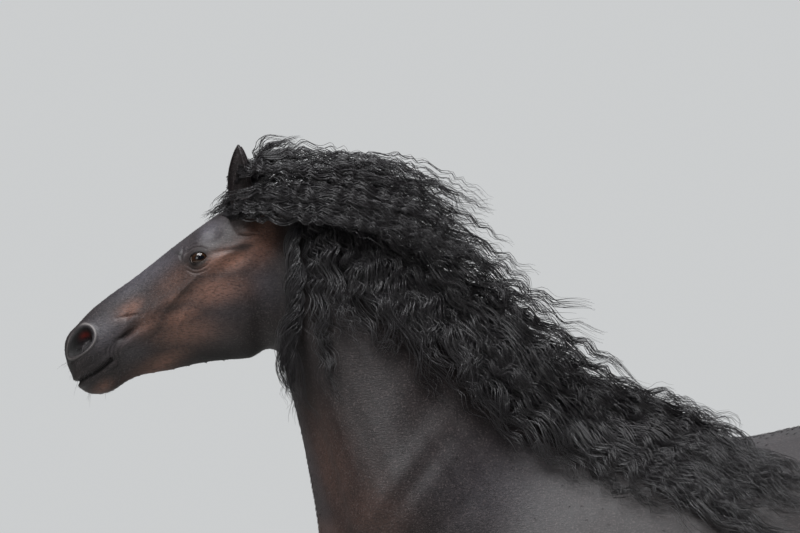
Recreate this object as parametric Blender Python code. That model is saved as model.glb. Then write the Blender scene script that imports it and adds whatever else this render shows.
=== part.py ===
# A Friesian stallion, life size, standing, with its mane blown back.
# Metres. +X runs from the head to the tail, +Y to the horse's right side, +Z up, floor at Z = 0.
# The flesh is lofted from anatomical sections, fused, shaped, thinned out and parted into its nodes.

import math

import bmesh
import bpy
import numpy as np
from mathutils import Vector
from mathutils.bvhtree import BVHTree

# Driving dimensions
POLL = (-0.713, 2.134)          # x, z of the point between the ears
NOSE_SLOPE = math.radians(36.2)  # the nasal line, below level
EYE_RADIUS = 0.0235
TAIL_TIP = 0.16                 # height of the tail hair's lowest tips
GAP = 0.0003                    # clearance between nodes
VOXEL = 0.006                   # grid on which the fused flesh is remade
RING = 36                       # points round a section
SPAN = 6                        # rings between two stations
LEVELS = np.array([0.0, 0.25, 0.5, 0.75, 1.0])

# Triangles kept in each zone of the flesh
HEAD_FACES, NECK_FACES, TORSO_FACES, LEG_FACES = 2000, 350, 1050, 1050

# How far each hoof is set forward (-) or back (+) of square, and the leg's distance from the middle
LEGS = {
    "foreleg_left": (-0.050, -0.160), "foreleg_right": (0.045, 0.160),
    "hindleg_left": (0.030, -0.150), "hindleg_right": (-0.085, 0.150),
}
FORE_TOP, HIND_TOP = 0.95, 1.08  # heights below which a leg follows its hoof

# A section's row: x, z of its upper or front point, x, z of its lower or rear point,
# then the half widths at five levels from the first point to the second.
TORSO = [
    (-0.580, 1.170, -0.580, 1.090, 0.030, 0.045, 0.050, 0.045, 0.030),
    (-0.566, 1.235, -0.562, 1.010, 0.070, 0.110, 0.122, 0.112, 0.078),
    (-0.520, 1.290, -0.512, 0.940, 0.092, 0.150, 0.182, 0.176, 0.125),
    (-0.440, 1.400, -0.435, 0.875, 0.110, 0.190, 0.234, 0.228, 0.165),
    (-0.330, 1.500, -0.330, 0.828, 0.090, 0.175, 0.255, 0.266, 0.200),
    (-0.200, 1.562, -0.200, 0.812, 0.072, 0.155, 0.258, 0.280, 0.225),
    (-0.060, 1.610, -0.060, 0.804, 0.064, 0.150, 0.265, 0.296, 0.250),
    (0.050, 1.620, 0.050, 0.798, 0.070, 0.172, 0.284, 0.312, 0.270),
    (0.180, 1.588, 0.180, 0.793, 0.105, 0.225, 0.308, 0.326, 0.284),
    (0.320, 1.552, 0.320, 0.797, 0.155, 0.268, 0.326, 0.334, 0.284),
    (0.450, 1.543, 0.450, 0.820, 0.185, 0.285, 0.326, 0.328, 0.268),
    (0.590, 1.570, 0.590, 0.870, 0.200, 0.286, 0.310, 0.300, 0.226),
    (0.700, 1.592, 0.700, 0.930, 0.205, 0.284, 0.296, 0.264, 0.172),
    (0.800, 1.594, 0.800, 0.980, 0.205, 0.278, 0.290, 0.240, 0.140),
    (0.890, 1.570, 0.890, 1.025, 0.188, 0.262, 0.275, 0.222, 0.120),
    (0.970, 1.520, 0.970, 1.080, 0.150, 0.228, 0.242, 0.195, 0.105),
    (1.035, 1.440, 1.035, 1.150, 0.105, 0.175, 0.188, 0.150, 0.080),
    (1.066, 1.370, 1.066, 1.230, 0.055, 0.090, 0.095, 0.080, 0.045),
]
NECK = [
    (0.160, 1.500, -0.250, 1.020, 0.020, 0.060, 0.100, 0.110, 0.080),
    (0.050, 1.596, -0.450, 1.080, 0.034, 0.108, 0.180, 0.204, 0.164),
    (-0.070, 1.668, -0.560, 1.205, 0.046, 0.132, 0.212, 0.238, 0.196),
    (-0.165, 1.752, -0.570, 1.322, 0.048, 0.118, 0.184, 0.206, 0.172),
    (-0.270, 1.858, -0.590, 1.447, 0.046, 0.100, 0.144, 0.160, 0.136),
    (-0.382, 1.972, -0.616, 1.574, 0.044, 0.086, 0.114, 0.124, 0.106),
    (-0.494, 2.066, -0.640, 1.665, 0.043, 0.078, 0.098, 0.102, 0.086),
    (-0.600, 2.118, -0.660, 1.735, 0.042, 0.072, 0.088, 0.088, 0.072),
    (-0.690, 2.122, -0.700, 1.830, 0.038, 0.060, 0.070, 0.066, 0.050),
]
# The head's rows: distance from the poll along the nasal line, upper and lower outline across it, half widths
HEAD = [
    (-0.040, -0.030, -0.090, 0.030, 0.045, 0.048, 0.040, 0.025),
    (-0.010, -0.006, -0.130, 0.050, 0.066, 0.070, 0.062, 0.040),
    (0.040, 0.003, -0.175, 0.064, 0.082, 0.084, 0.074, 0.045),
    (0.090, 0.009, -0.232, 0.082, 0.098, 0.092, 0.082, 0.052),
    (0.140, 0.012, -0.286, 0.102, 0.111, 0.096, 0.088, 0.056),
    (0.190, 0.012, -0.319, 0.120, 0.117, 0.098, 0.090, 0.058),
    (0.245, 0.011, -0.322, 0.112, 0.109, 0.097, 0.086, 0.055),
    (0.300, 0.009, -0.296, 0.088, 0.091, 0.091, 0.074, 0.050),
    (0.360, 0.007, -0.265, 0.068, 0.075, 0.079, 0.060, 0.042),
    (0.425, 0.008, -0.231, 0.056, 0.063, 0.064, 0.050, 0.038),
    (0.490, 0.006, -0.196, 0.046, 0.057, 0.057, 0.046, 0.036),
    (0.540, -0.003, -0.184, 0.042, 0.060, 0.058, 0.045, 0.036),
    (0.575, -0.010, -0.178, 0.038, 0.060, 0.058, 0.043, 0.034),
    (0.600, -0.030, -0.170, 0.030, 0.050, 0.053, 0.040, 0.030),
    (0.616, -0.062, -0.158, 0.022, 0.036, 0.042, 0.034, 0.022),
    (0.624, -0.090, -0.146, 0.012, 0.018, 0.022, 0.018, 0.010),
]
# A leg's rows: x, z of its front point, x, z of its rear point, half widths
FORELEG = [
    (-0.430, 1.240, -0.290, 1.260, 0.015, 0.030, 0.034, 0.030, 0.015),
    (-0.462, 1.140, -0.220, 1.170, 0.040, 0.070, 0.078, 0.068, 0.040),
    (-0.476, 1.040, -0.160, 1.070, 0.058, 0.096, 0.104, 0.090, 0.052),
    (-0.462, 0.960, -0.150, 0.975, 0.066, 0.102, 0.108, 0.090, 0.050),
    (-0.442, 0.890, -0.164, 0.895, 0.066, 0.096, 0.098, 0.080, 0.046),
    (-0.421, 0.815, -0.198, 0.812, 0.059, 0.082, 0.083, 0.068, 0.041),
    (-0.402, 0.730, -0.234, 0.725, 0.051, 0.069, 0.070, 0.058, 0.036),
    (-0.384, 0.645, -0.256, 0.645, 0.043, 0.057, 0.057, 0.049, 0.034),
    (-0.369, 0.580, -0.268, 0.580, 0.040, 0.048, 0.047, 0.043, 0.033),
    (-0.378, 0.520, -0.254, 0.528, 0.049, 0.059, 0.056, 0.050, 0.037),
    (-0.373, 0.465, -0.252, 0.478, 0.049, 0.059, 0.056, 0.049, 0.035),
    (-0.359, 0.410, -0.264, 0.415, 0.040, 0.047, 0.044, 0.039, 0.030),
    (-0.351, 0.345, -0.267, 0.345, 0.035, 0.041, 0.038, 0.034, 0.028),
    (-0.349, 0.280, -0.264, 0.275, 0.035, 0.041, 0.039, 0.037, 0.030),
    (-0.353, 0.228, -0.256, 0.215, 0.040, 0.048, 0.047, 0.044, 0.036),
    (-0.366, 0.185, -0.270, 0.165, 0.038, 0.044, 0.044, 0.042, 0.036),
    (-0.388, 0.145, -0.299, 0.112, 0.038, 0.045, 0.045, 0.043, 0.037),
    (-0.405, 0.118, -0.314, 0.080, 0.045, 0.054, 0.053, 0.049, 0.039),
    (-0.414, 0.098, -0.318, 0.058, 0.047, 0.057, 0.055, 0.051, 0.039),
]
HINDLEG = [
    (0.740, 1.400, 0.960, 1.420, 0.015, 0.035, 0.040, 0.035, 0.015),
    (0.660, 1.300, 1.035, 1.330, 0.045, 0.090, 0.096, 0.080, 0.040),
    (0.612, 1.190, 1.072, 1.220, 0.070, 0.118, 0.124, 0.106, 0.060),
    (0.592, 1.090, 1.082, 1.120, 0.080, 0.122, 0.130, 0.112, 0.068),
    (0.600, 0.995, 1.060, 1.030, 0.078, 0.114, 0.119, 0.102, 0.062),
    (0.630, 0.910, 1.026, 0.945, 0.068, 0.099, 0.101, 0.085, 0.052),
    (0.672, 0.835, 0.998, 0.865, 0.058, 0.083, 0.084, 0.068, 0.042),
    (0.722, 0.765, 0.984, 0.790, 0.048, 0.068, 0.067, 0.052, 0.032),
    (0.776, 0.705, 0.988, 0.730, 0.041, 0.056, 0.054, 0.039, 0.023),
    (0.826, 0.660, 1.006, 0.680, 0.039, 0.050, 0.047, 0.034, 0.021),
    (0.864, 0.615, 1.032, 0.632, 0.043, 0.053, 0.049, 0.035, 0.025),
    (0.882, 0.565, 1.026, 0.575, 0.047, 0.058, 0.052, 0.038, 0.028),
    (0.893, 0.512, 1.006, 0.512, 0.043, 0.052, 0.046, 0.038, 0.028),
    (0.900, 0.455, 0.995, 0.450, 0.038, 0.045, 0.042, 0.038, 0.029),
    (0.904, 0.375, 0.988, 0.370, 0.035, 0.041, 0.039, 0.036, 0.029),
    (0.906, 0.290, 0.990, 0.285, 0.035, 0.041, 0.039, 0.037, 0.030),
    (0.902, 0.235, 1.001, 0.222, 0.040, 0.048, 0.047, 0.044, 0.036),
    (0.888, 0.190, 0.986, 0.170, 0.038, 0.044, 0.044, 0.042, 0.035),
    (0.864, 0.148, 0.956, 0.116, 0.038, 0.044, 0.044, 0.042, 0.036),
    (0.847, 0.120, 0.938, 0.082, 0.044, 0.052, 0.051, 0.047, 0.038),
    (0.837, 0.098, 0.933, 0.058, 0.046, 0.054, 0.053, 0.049, 0.038),
]


# Head coordinates: u from the poll along the nasal line, v across it towards the forehead
ALONG = np.array([-math.cos(NOSE_SLOPE), -math.sin(NOSE_SLOPE)])
ACROSS = np.array([-math.sin(NOSE_SLOPE), math.cos(NOSE_SLOPE)])


def head_point(u, v):
    """x, z of a point of the head's side view."""
    return np.array(POLL) + u * ALONG + v * ACROSS


def head_coordinates(points):
    """u, v and the distance from the middle plane, of points in space."""
    flat = points[:, [0, 2]] - np.array(POLL)
    return np.column_stack([flat @ ALONG, flat @ ACROSS, np.abs(points[:, 1])])


def through(rows, steps):
    """A smooth curve through the rows, by Catmull and Rom's rule, with steps points to a span."""
    rows = np.array(rows, float)
    ends = np.vstack([2 * rows[0] - rows[1], rows, 2 * rows[-1] - rows[-2]])
    out = []
    for i in range(len(rows) - 1):
        p0, p1, p2, p3 = ends[i:i + 4]
        for t in np.arange(steps) / steps:
            out.append(0.5 * (2 * p1 + (p2 - p0) * t + (2 * p0 - 5 * p1 + 4 * p2 - p3) * t ** 2
                              + (3 * p1 - p0 - 3 * p2 + p3) * t ** 3))
    return np.array(out + [rows[-1]])


def section(row, side):
    """The closed ring of one section. Its depth runs from the row's first point to its second."""
    turn = np.arange(RING) * math.tau / RING
    level = (1 - np.cos(turn)) / 2
    half = np.polyval(np.polyfit(LEVELS, row[4:9], 4), level)
    x = row[0] + (row[2] - row[0]) * level
    z = row[1] + (row[3] - row[1]) * level
    return np.column_stack([x, side + half * np.sin(turn), z])


def closed_tube(rings):
    """Points and faces of a tube through rings of equal size, with a fan at each end."""
    size = len(rings[0])
    points = np.vstack([*rings, rings[0].mean(0), rings[-1].mean(0)])
    first, last = len(points) - 2, len(points) - 1
    faces = []
    for r in range(len(rings) - 1):
        for i in range(size):
            j = (i + 1) % size
            faces.append((r * size + i, r * size + j, (r + 1) * size + j, (r + 1) * size + i))
    end = (len(rings) - 1) * size
    faces += [(first, (i + 1) % size, i) for i in range(size)]
    faces += [(last, end + i, end + (i + 1) % size) for i in range(size)]
    return points, faces


def outward(mesh):
    """Turns every closed shell's faces outwards."""
    work = bmesh.new()
    work.from_mesh(mesh)
    bmesh.ops.recalc_face_normals(work, faces=work.faces)
    work.to_mesh(mesh)
    work.free()


def new_object(name, points, faces):
    mesh = bpy.data.meshes.new(name)
    mesh.from_pydata([tuple(p) for p in points], [], faces)
    outward(mesh)
    thing = bpy.data.objects.new(name, mesh)
    bpy.context.scene.collection.objects.link(thing)
    return thing


def apply_modifiers(thing):
    """Keeps the evaluated mesh and drops the modifiers."""
    graph = bpy.context.evaluated_depsgraph_get()
    mesh = bpy.data.meshes.new_from_object(thing.evaluated_get(graph))
    thing.modifiers.clear()
    thing.data = mesh
    return thing


def coordinates(mesh):
    flat = np.empty(len(mesh.vertices) * 3)
    mesh.vertices.foreach_get("co", flat)
    return flat.reshape(-1, 3)


def normals(mesh):
    flat = np.empty(len(mesh.vertices) * 3)
    mesh.vertices.foreach_get("normal", flat)
    return flat.reshape(-1, 3)


def put_coordinates(mesh, points):
    mesh.vertices.foreach_set("co", points.ravel())
    mesh.update()


def leg_rows(rows, shift, top):
    """A leg's rows, leaning so that its hoof is set forward or back by shift."""
    rows = through(rows, SPAN)
    for column in (0, 2):
        drop = np.clip((top - rows[:, column + 1]) / (top - 0.1), 0, 1)
        rows[:, column] += shift * drop
    return rows


def flesh_lofts():
    """The overlapping closed lofts of the whole body, hoofs and ears left out."""
    lofts = []
    for rows in (TORSO, NECK):
        lofts.append([section(row, 0) for row in through(rows, SPAN)])
    head = [(*head_point(u, top), *head_point(u, low), *widths) for u, top, low, *widths in HEAD]
    lofts.append([section(row, 0) for row in through(head, SPAN)])
    for name, (shift, side) in LEGS.items():
        fore = name.startswith("fore")
        rows = leg_rows(FORELEG if fore else HINDLEG, shift, FORE_TOP if fore else HIND_TOP)
        lofts.append([section(row, side) for row in rows])
    return [closed_tube(rings) for rings in lofts]


def fused(name, lofts, voxel):
    """One closed surface over all the lofts, remade on an even grid."""
    points, faces = [], []
    count = 0
    for ring_points, ring_faces in lofts:
        points.append(ring_points)
        faces += [tuple(i + count for i in face) for face in ring_faces]
        count += len(ring_points)
    thing = new_object(name, np.vstack(points), faces)
    remesh = thing.modifiers.new("even", "REMESH")
    remesh.mode, remesh.voxel_size = "VOXEL", voxel
    return apply_modifiers(thing)


def relax(mesh, rounds, weight=1.0, back=0.92):
    """Moves points towards the mean of their neighbours, and every second round back by a share."""
    edges = np.empty(len(mesh.edges) * 2, int)
    mesh.edges.foreach_get("vertices", edges)
    a, b = edges.reshape(-1, 2).T
    points = coordinates(mesh)
    count = np.bincount(a, minlength=len(points)) + np.bincount(b, minlength=len(points))
    weight = np.broadcast_to(weight, len(points))
    for turn in range(rounds):
        total = np.zeros_like(points)
        for axis in range(3):
            total[:, axis] = (np.bincount(a, points[b, axis], len(points))
                              + np.bincount(b, points[a, axis], len(points)))
        step = 0.5 if turn % 2 == 0 or back == 0 else -0.5 * back
        points += (step * weight)[:, None] * (total / count[:, None] - points)
    put_coordinates(mesh, points)


def near_line(points, line, reach):
    """1 on a side-view line of x, z points, falling to 0 at reach from it."""
    flat = points[:, [0, 2]]
    nearest = np.full(len(flat), 9.0)
    for start, end in zip(np.array(line[:-1]), np.array(line[1:])):
        span = end - start
        t = np.clip((flat - start) @ span / (span @ span), 0, 1)
        nearest = np.minimum(nearest, np.linalg.norm(flat - start - t[:, None] * span, axis=1))
    return smooth(1 - nearest / reach)


def smooth(t):
    """0 below 0, 1 above 1, with a soft start and end between."""
    t = np.clip(t, 0, 1)
    return t * t * (3 - 2 * t)


# Where one limb's flesh runs into the next, in side view, and how far the join is rounded
JOINS = [
    ([(0.12, 1.58), (0.00, 1.34), (-0.22, 1.14), (-0.44, 1.10), (-0.57, 1.24)], 0.20),
    ([(-0.52, 0.98), (-0.46, 1.18), (-0.24, 1.20), (-0.15, 1.00)], 0.13),
    ([(0.60, 1.00), (0.60, 1.20), (0.74, 1.38), (0.94, 1.40), (1.06, 1.26), (1.05, 1.16)], 0.15),
    ([(-0.66, 2.10), (-0.655, 1.90), (-0.68, 1.73)], 0.06),
]
# Muscles and hollows: x, y, z, long and short reach, lean of the long way in degrees, height
BODY_FORMS = [
    (-0.22, 0.25, 1.34, 0.20, 0.065, 46, 0.012), (-0.37, 0.17, 1.40, 0.17, 0.028, 52, -0.010),
    (-0.20, 0.27, 1.07, 0.12, 0.085, 30, 0.016), (-0.06, 0.29, 1.02, 0.15, 0.030, 82, -0.011),
    (-0.19, 0.24, 0.93, 0.035, 0.030, 0, 0.008), (-0.54, 0.10, 1.12, 0.09, 0.075, 70, 0.014),
    (-0.57, 0.00, 1.12, 0.16, 0.020, 80, -0.014), (0.55, 0.28, 1.22, 0.10, 0.060, 60, -0.016),
    (0.66, 0.27, 1.46, 0.050, 0.045, 0, 0.014), (0.82, 0.24, 1.40, 0.14, 0.090, -15, 0.010),
    (0.99, 0.19, 1.20, 0.17, 0.018, 82, -0.008), (0.63, 0.20, 1.04, 0.055, 0.050, 0, 0.010),
    (0.86, 0.20, 0.98, 0.13, 0.016, -40, -0.006), (-0.50, 0.12, 1.55, 0.22, 0.026, -68, 0.006),
    (-0.55, 0.10, 1.50, 0.22, 0.016, -72, -0.006), (-0.30, 0.12, 1.62, 0.20, 0.050, 55, -0.008),
]
# The same on the head: u, distance from the middle, v, long and short reach, lean, height
HEAD_FORMS = [
    (0.205, 0.090, -0.036, 0.036, 0.030, 0, 0.008),    # orbit
    (0.150, 0.075, -0.026, 0.022, 0.016, 10, -0.006),  # hollow above the eye
    (0.150, 0.100, -0.082, 0.060, 0.013, 3, 0.005),    # arch of the cheekbone
    (0.145, 0.100, -0.110, 0.050, 0.015, 3, -0.003),
    (0.310, 0.085, -0.090, 0.070, 0.012, 0, 0.005),    # facial crest
    (0.320, 0.085, -0.118, 0.060, 0.018, -4, -0.005),
    (0.195, 0.095, -0.215, 0.085, 0.070, -50, 0.009),  # cheek muscle
    (0.385, 0.060, -0.160, 0.060, 0.035, -35, -0.007),
    (0.400, 0.050, -0.045, 0.070, 0.018, 0, -0.004),   # beside the nasal bones
    (0.452, 0.060, -0.096, 0.036, 0.008, -8, -0.007),  # fold behind the nostril
    (0.426, 0.060, -0.058, 0.016, 0.006, -35, -0.004),
    (0.470, 0.060, -0.115, 0.030, 0.013, -5, 0.005),
    (0.565, 0.020, -0.178, 0.030, 0.018, 10, 0.007),   # chin
    (0.330, 0.000, -0.290, 0.110, 0.022, 36, -0.010),  # between the jaw bones
]
EYE = (0.2102, -0.0485)         # u, v of the middle of the open lids
EYE_IN = 0.0800                 # distance of the eyeball's middle from the middle plane
EYE_HALF, LID_ABOVE, LID_BELOW = 0.0222, 0.0145, 0.0118
LID = 0.0040                    # thickness of the lids
NOSTRIL = (0.556, -0.042)       # u, v
NOSTRIL_HALF = (0.036, 0.021)
NOSTRIL_LEAN = math.radians(-19)
MOUTH = [(0.515, -0.1245), (0.560, -0.1265), (0.600, -0.1215), (0.630, -0.1170)]  # u, v from corner to front


def turned(a, b, angle):
    """Coordinates a, b along axes turned by angle."""
    return a * math.cos(angle) + b * math.sin(angle), b * math.cos(angle) - a * math.sin(angle)


def form_height(where, forms, depth):
    """Sum of the forms' heights at points given as along, sideways, up."""
    height = np.zeros(len(where))
    for x, y, z, long, short, lean, rise in forms:
        a, b = turned(where[:, 0] - x, where[:, 2] - z, math.radians(lean))
        height += rise * np.exp(-(a / long) ** 2 - (b / short) ** 2 - ((where[:, 1] - y) / depth) ** 2)
    return height


def nostril_shape(u, v):
    a, b = turned(u - NOSTRIL[0], v - NOSTRIL[1], NOSTRIL_LEAN)
    wide = NOSTRIL_HALF[1] * (1 - 0.25 * a / NOSTRIL_HALF[0])
    return np.sqrt((a / NOSTRIL_HALF[0]) ** 2 + (b / wide) ** 2)


def face_height(head):
    """Lids, nostrils, lips and the line of the mouth, as heights over the head's surface."""
    u, v, w = head.T
    side = smooth(w / 0.02 - 1)
    ring = np.hypot(u - EYE[0], v - EYE[1])
    height = -0.0035 * side * np.exp(-((ring - 0.030) / 0.006) ** 2)
    hole = nostril_shape(u, v)
    height += side * -0.030 * smooth((1.05 - hole) / 0.75)
    height += side * 0.006 * np.exp(-((hole - 1.28) / 0.25) ** 2)
    line = np.array(MOUTH)
    gap = v - np.interp(u, line[:, 0], line[:, 1])
    lips = smooth((u - line[0, 0] + 0.006) / 0.012)
    height -= lips * 0.007 * np.exp(-(gap / 0.0035) ** 2)
    height += lips * 0.003 * np.exp(-((np.abs(gap) - 0.012) / 0.007) ** 2)
    return height


def refine_head(mesh):
    """Halves the grid on the head."""
    work = bmesh.new()
    work.from_mesh(mesh)
    edges = [e for e in work.edges if all(v.co.x < -0.66 and v.co.z > 1.66 for v in e.verts)]
    bmesh.ops.subdivide_edges(work, edges=edges, cuts=1, use_grid_fill=True)
    bmesh.ops.triangulate(work, faces=[f for f in work.faces if len(f.verts) != 4])
    work.to_mesh(mesh)
    work.free()


def rounded_flesh():
    """The lofts fused, with their hollow joins filled by a coarse copy that was smoothed there."""
    lofts = flesh_lofts()
    coarse = fused("coarse", lofts, 2 * VOXEL)
    points = coordinates(coarse.data)
    weight = np.zeros(len(points))
    for line, reach in JOINS:
        weight = np.maximum(weight, near_line(points, line, reach * 1.4))
    relax(coarse.data, 480, weight, back=0)
    lofts.append((coordinates(coarse.data), [tuple(p.vertices) for p in coarse.data.polygons]))
    bpy.data.objects.remove(coarse)
    return fused("flesh", lofts, VOXEL)


def shape_flesh(mesh):
    """Rounds the joins, then raises and sinks the muscles, bones and features of the face."""
    relax(mesh, 40)
    points = coordinates(mesh)
    weight = np.zeros(len(points))
    for line, reach in JOINS:
        weight = np.maximum(weight, near_line(points, line, reach))
    relax(mesh, 60, weight, back=0)
    refine_head(mesh)
    for is_head, forms, depth in ((False, BODY_FORMS, 0.11), (True, HEAD_FORMS, 0.045)):
        points = coordinates(mesh)
        head = head_coordinates(points)
        body = np.column_stack([points[:, 0], np.abs(points[:, 1]), points[:, 2]])
        where = head[:, [0, 2, 1]] if is_head else body
        height = form_height(where, forms, depth)
        if is_head:
            height = (height + face_height(head)) * smooth((-0.65 - points[:, 0]) / 0.03)
        put_coordinates(mesh, points + height[:, None] * normals(mesh))
    relax(mesh, 4)


def on_head(points):
    return (points[:, 0] < -0.64) & (points[:, 2] > 1.66)


def on_legs(points):
    fore_or_hind = (points[:, 0] < -0.15) | (points[:, 0] > 0.56)
    return (points[:, 2] < 0.92) & (np.abs(points[:, 1]) > 0.03) & fore_or_hind


def on_neck(points):
    return (points[:, 0] >= -0.64) & (points[:, 0] < 0.0) & (points[:, 2] > 1.45)


def on_trunk(points):
    return ~(on_head(points) | on_legs(points) | on_neck(points))


def thinned(thing, zones):
    """Removes triangles zone by zone. A zone is a test of points and how many triangles it keeps."""
    for weigh, keep in zones:
        mesh = thing.data
        chosen = weigh(coordinates(mesh))
        corners = np.empty(len(mesh.loops), int)
        mesh.loops.foreach_get("vertex_index", corners)
        inside = int(chosen[corners].sum()) // 3
        group = thing.vertex_groups.get("zone") or thing.vertex_groups.new(name="zone")
        group.add(np.flatnonzero(chosen).tolist(), 1.0, "REPLACE")
        group.remove(np.flatnonzero(~chosen).tolist())
        collapse = thing.modifiers.new("thin", "DECIMATE")
        collapse.ratio = (len(mesh.polygons) - inside + keep) / len(mesh.polygons)
        collapse.vertex_group = "zone"
        apply_modifiers(thing)


def triangulated(thing):
    work = bmesh.new()
    work.from_mesh(thing.data)
    bmesh.ops.triangulate(work, faces=work.faces)
    work.to_mesh(thing.data)
    work.free()


def copied(thing, name):
    other = thing.copy()
    other.data = thing.data.copy()
    other.name = name
    bpy.context.scene.collection.objects.link(other)
    return other


def keep_side(thing, point, normal):
    """Cuts off what lies beyond a plane, on the side that normal points to, and closes the cut."""
    work = bmesh.new()
    work.from_mesh(thing.data)
    bmesh.ops.bisect_plane(work, geom=work.verts[:] + work.edges[:] + work.faces[:],
                           plane_co=point, plane_no=normal, clear_outer=True, dist=1e-7)
    bmesh.ops.holes_fill(work, edges=[e for e in work.edges if e.is_boundary], sides=0)
    bmesh.ops.triangulate(work, faces=work.faces)
    work.to_mesh(thing.data)
    work.free()


def boolean(thing, other, operation, solver="EXACT"):
    """Cuts or joins with one object, which is then removed."""
    change = thing.modifiers.new(operation, "BOOLEAN")
    change.operation, change.solver, change.object = operation, solver, other
    apply_modifiers(thing)
    bpy.data.objects.remove(other)


def largest_shell(thing):
    """Keeps only the closed surface that holds most volume."""
    work = bmesh.new()
    work.from_mesh(thing.data)
    bmesh.ops.triangulate(work, faces=work.faces)
    left, shells = set(work.faces), []
    while left:
        stack = [left.pop()]
        shell = list(stack)
        while stack:
            for edge in stack.pop().edges:
                for face in edge.link_faces:
                    if face in left:
                        left.remove(face)
                        stack.append(face)
                        shell.append(face)
        shells.append(shell)
    volumes = []
    for shell in shells:
        corners = [[v.co for v in face.verts] for face in shell]
        volumes.append(sum(a.dot(b.cross(c)) for a, b, c in corners) / 6)
    keep = shells[int(np.argmax(volumes))]
    drop = [face for shell in shells if shell is not keep for face in shell]
    bmesh.ops.delete(work, geom=drop, context="FACES")
    work.to_mesh(thing.data)
    work.free()


def fuse_pieces(base, pieces):
    """Joins closed pieces into base with one union, and keeps one closed surface."""
    group = bpy.data.collections.new("pieces")
    bpy.context.scene.collection.children.link(group)
    for piece in pieces:
        bpy.context.scene.collection.objects.unlink(piece)
        group.objects.link(piece)
    union = base.modifiers.new("union", "BOOLEAN")
    union.operation, union.solver, union.operand_type = "UNION", "MANIFOLD", "COLLECTION"
    union.collection = group
    apply_modifiers(base)
    for piece in pieces:
        bpy.data.objects.remove(piece)
    bpy.data.collections.remove(group)
    largest_shell(base)


def grown(thing, name, by):
    """A copy with every point moved out by the given distance."""
    other = copied(thing, name)
    put_coordinates(other.data, coordinates(other.data) + by * normals(other.data))
    return other


def arch_cutter(name, x, z, radius, side, inner, low=-0.05, grow=0.0):
    """A standing block with a round top, as wide as a leg: the shape that parts a leg from the trunk."""
    turn = np.linspace(0, math.pi, 17)
    outline = [(x + (radius + grow) * math.cos(a), z + (radius + grow) * math.sin(a)) for a in turn]
    outline += [(x - radius - grow, low), (x + radius + grow, low)]
    near, far = side * (inner - grow), side * 0.5
    points = [(px, near, pz) for px, pz in outline] + [(px, far, pz) for px, pz in outline]
    size = len(outline)
    faces = [tuple(range(size)), tuple(range(2 * size - 1, size - 1, -1))]
    faces += [(i, (i + 1) % size, size + (i + 1) % size, size + i) for i in range(size)]
    return new_object(name, np.array(points), faces)


NECK_CUT = ((0.03, 0, 1.64), (-0.60, 0, 1.23))   # two points on the plane between neck and trunk
HEAD_CUT = ((-0.636, 0, 2.13), (-0.650, 0, 1.73))
# The arches that part the legs from the trunk: x, z, radius, inner side
ARCHES = {"fore": (-0.312, 0.900, 0.165, 0.050), "hind": (0.835, 1.000, 0.262, 0.020)}
CORONET = {"fore": ((-0.414, 0.098), (-0.318, 0.058)), "hind": ((0.837, 0.098), (0.933, 0.058))}


def plane_of(line, flip):
    """A point and a normal of the plane that stands on a side-view line."""
    start, end = Vector(line[0]), Vector(line[1])
    return start, (end - start).cross(Vector((0, 1, 0))).normalized() * flip


def parted(flesh):
    """The head, neck, trunk and legs as nodes of their own, with thin cuts between them."""
    nodes = {}
    neck_point, neck_normal = plane_of(NECK_CUT, 1)
    if neck_normal.z < 0:
        neck_normal = -neck_normal
    head_point_, head_normal = plane_of(HEAD_CUT, 1)
    if head_normal.x > 0:
        head_normal = -head_normal
    half = GAP / 2 + 1e-5
    head = copied(flesh, "head")
    keep_side(head, head_point_ + head_normal * half, -head_normal)
    neck = copied(flesh, "neck")
    keep_side(neck, head_point_ - head_normal * half, head_normal)
    keep_side(neck, neck_point + neck_normal * half, -neck_normal)
    torso = flesh
    torso.name = "torso"
    keep_side(torso, neck_point - neck_normal * half, neck_normal)
    nodes["head"], nodes["neck"], nodes["torso"] = head, neck, torso
    for name, (shift, side) in LEGS.items():
        kind = name[:4]
        x, z, radius, inner = ARCHES[kind]
        sign = math.copysign(1, side)
        leg = copied(torso, name)
        boolean(leg, arch_cutter("cutter", x, z, radius, sign, inner), "INTERSECT")
        boolean(torso, arch_cutter("cutter", x, z, radius, sign, inner, grow=GAP), "DIFFERENCE")
        top, low = (Vector((px + shift, 0, pz)) for px, pz in CORONET[kind])
        point, normal = plane_of((top, low), 1)
        if normal.z > 0:
            normal = -normal
        keep_side(leg, point, normal)
        nodes[name] = leg
    for node in nodes.values():
        largest_shell(node)
    return nodes


GROUND = {"fore": (-0.478, -0.325, 0.068), "hind": (0.778, 0.925, 0.062)}   # toe x, heel x, half width
CORONET_HALF = {"fore": 0.056, "hind": 0.053}


def hoof(name):
    """A hoof wall from the coronet to a flat sole on the floor, straighter at the heels."""
    shift, side = LEGS[name]
    kind = name[:4]
    (top_toe, toe_z), (top_heel, heel_z) = CORONET[kind]
    toe, heel, half = GROUND[kind]
    turn = np.arange(24) * math.tau / 24
    rings = []
    for t in (0.0, 0.12, 0.45, 0.8, 1.0):
        front, rear = top_toe + (toe - top_toe) * t, top_heel + (heel - top_heel) * t
        wide = CORONET_HALF[kind] + 0.004 * min(t / 0.12, 1) + (half - CORONET_HALF[kind] - 0.004) * t
        along = -np.cos(turn)
        x = (front + rear) / 2 + (rear - front) / 2 * along
        y = wide * np.sin(turn) * (1 - 0.16 * along) * np.where(along > 0, 1 - 0.10 * along ** 4, 1)
        z = (1 - t) * (toe_z + (heel_z - toe_z) * (along + 1) / 2 - GAP)
        rings.append(np.column_stack([x + shift, y + side, z]))
    return new_object("hoof_" + name, *closed_tube(rings))


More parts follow.
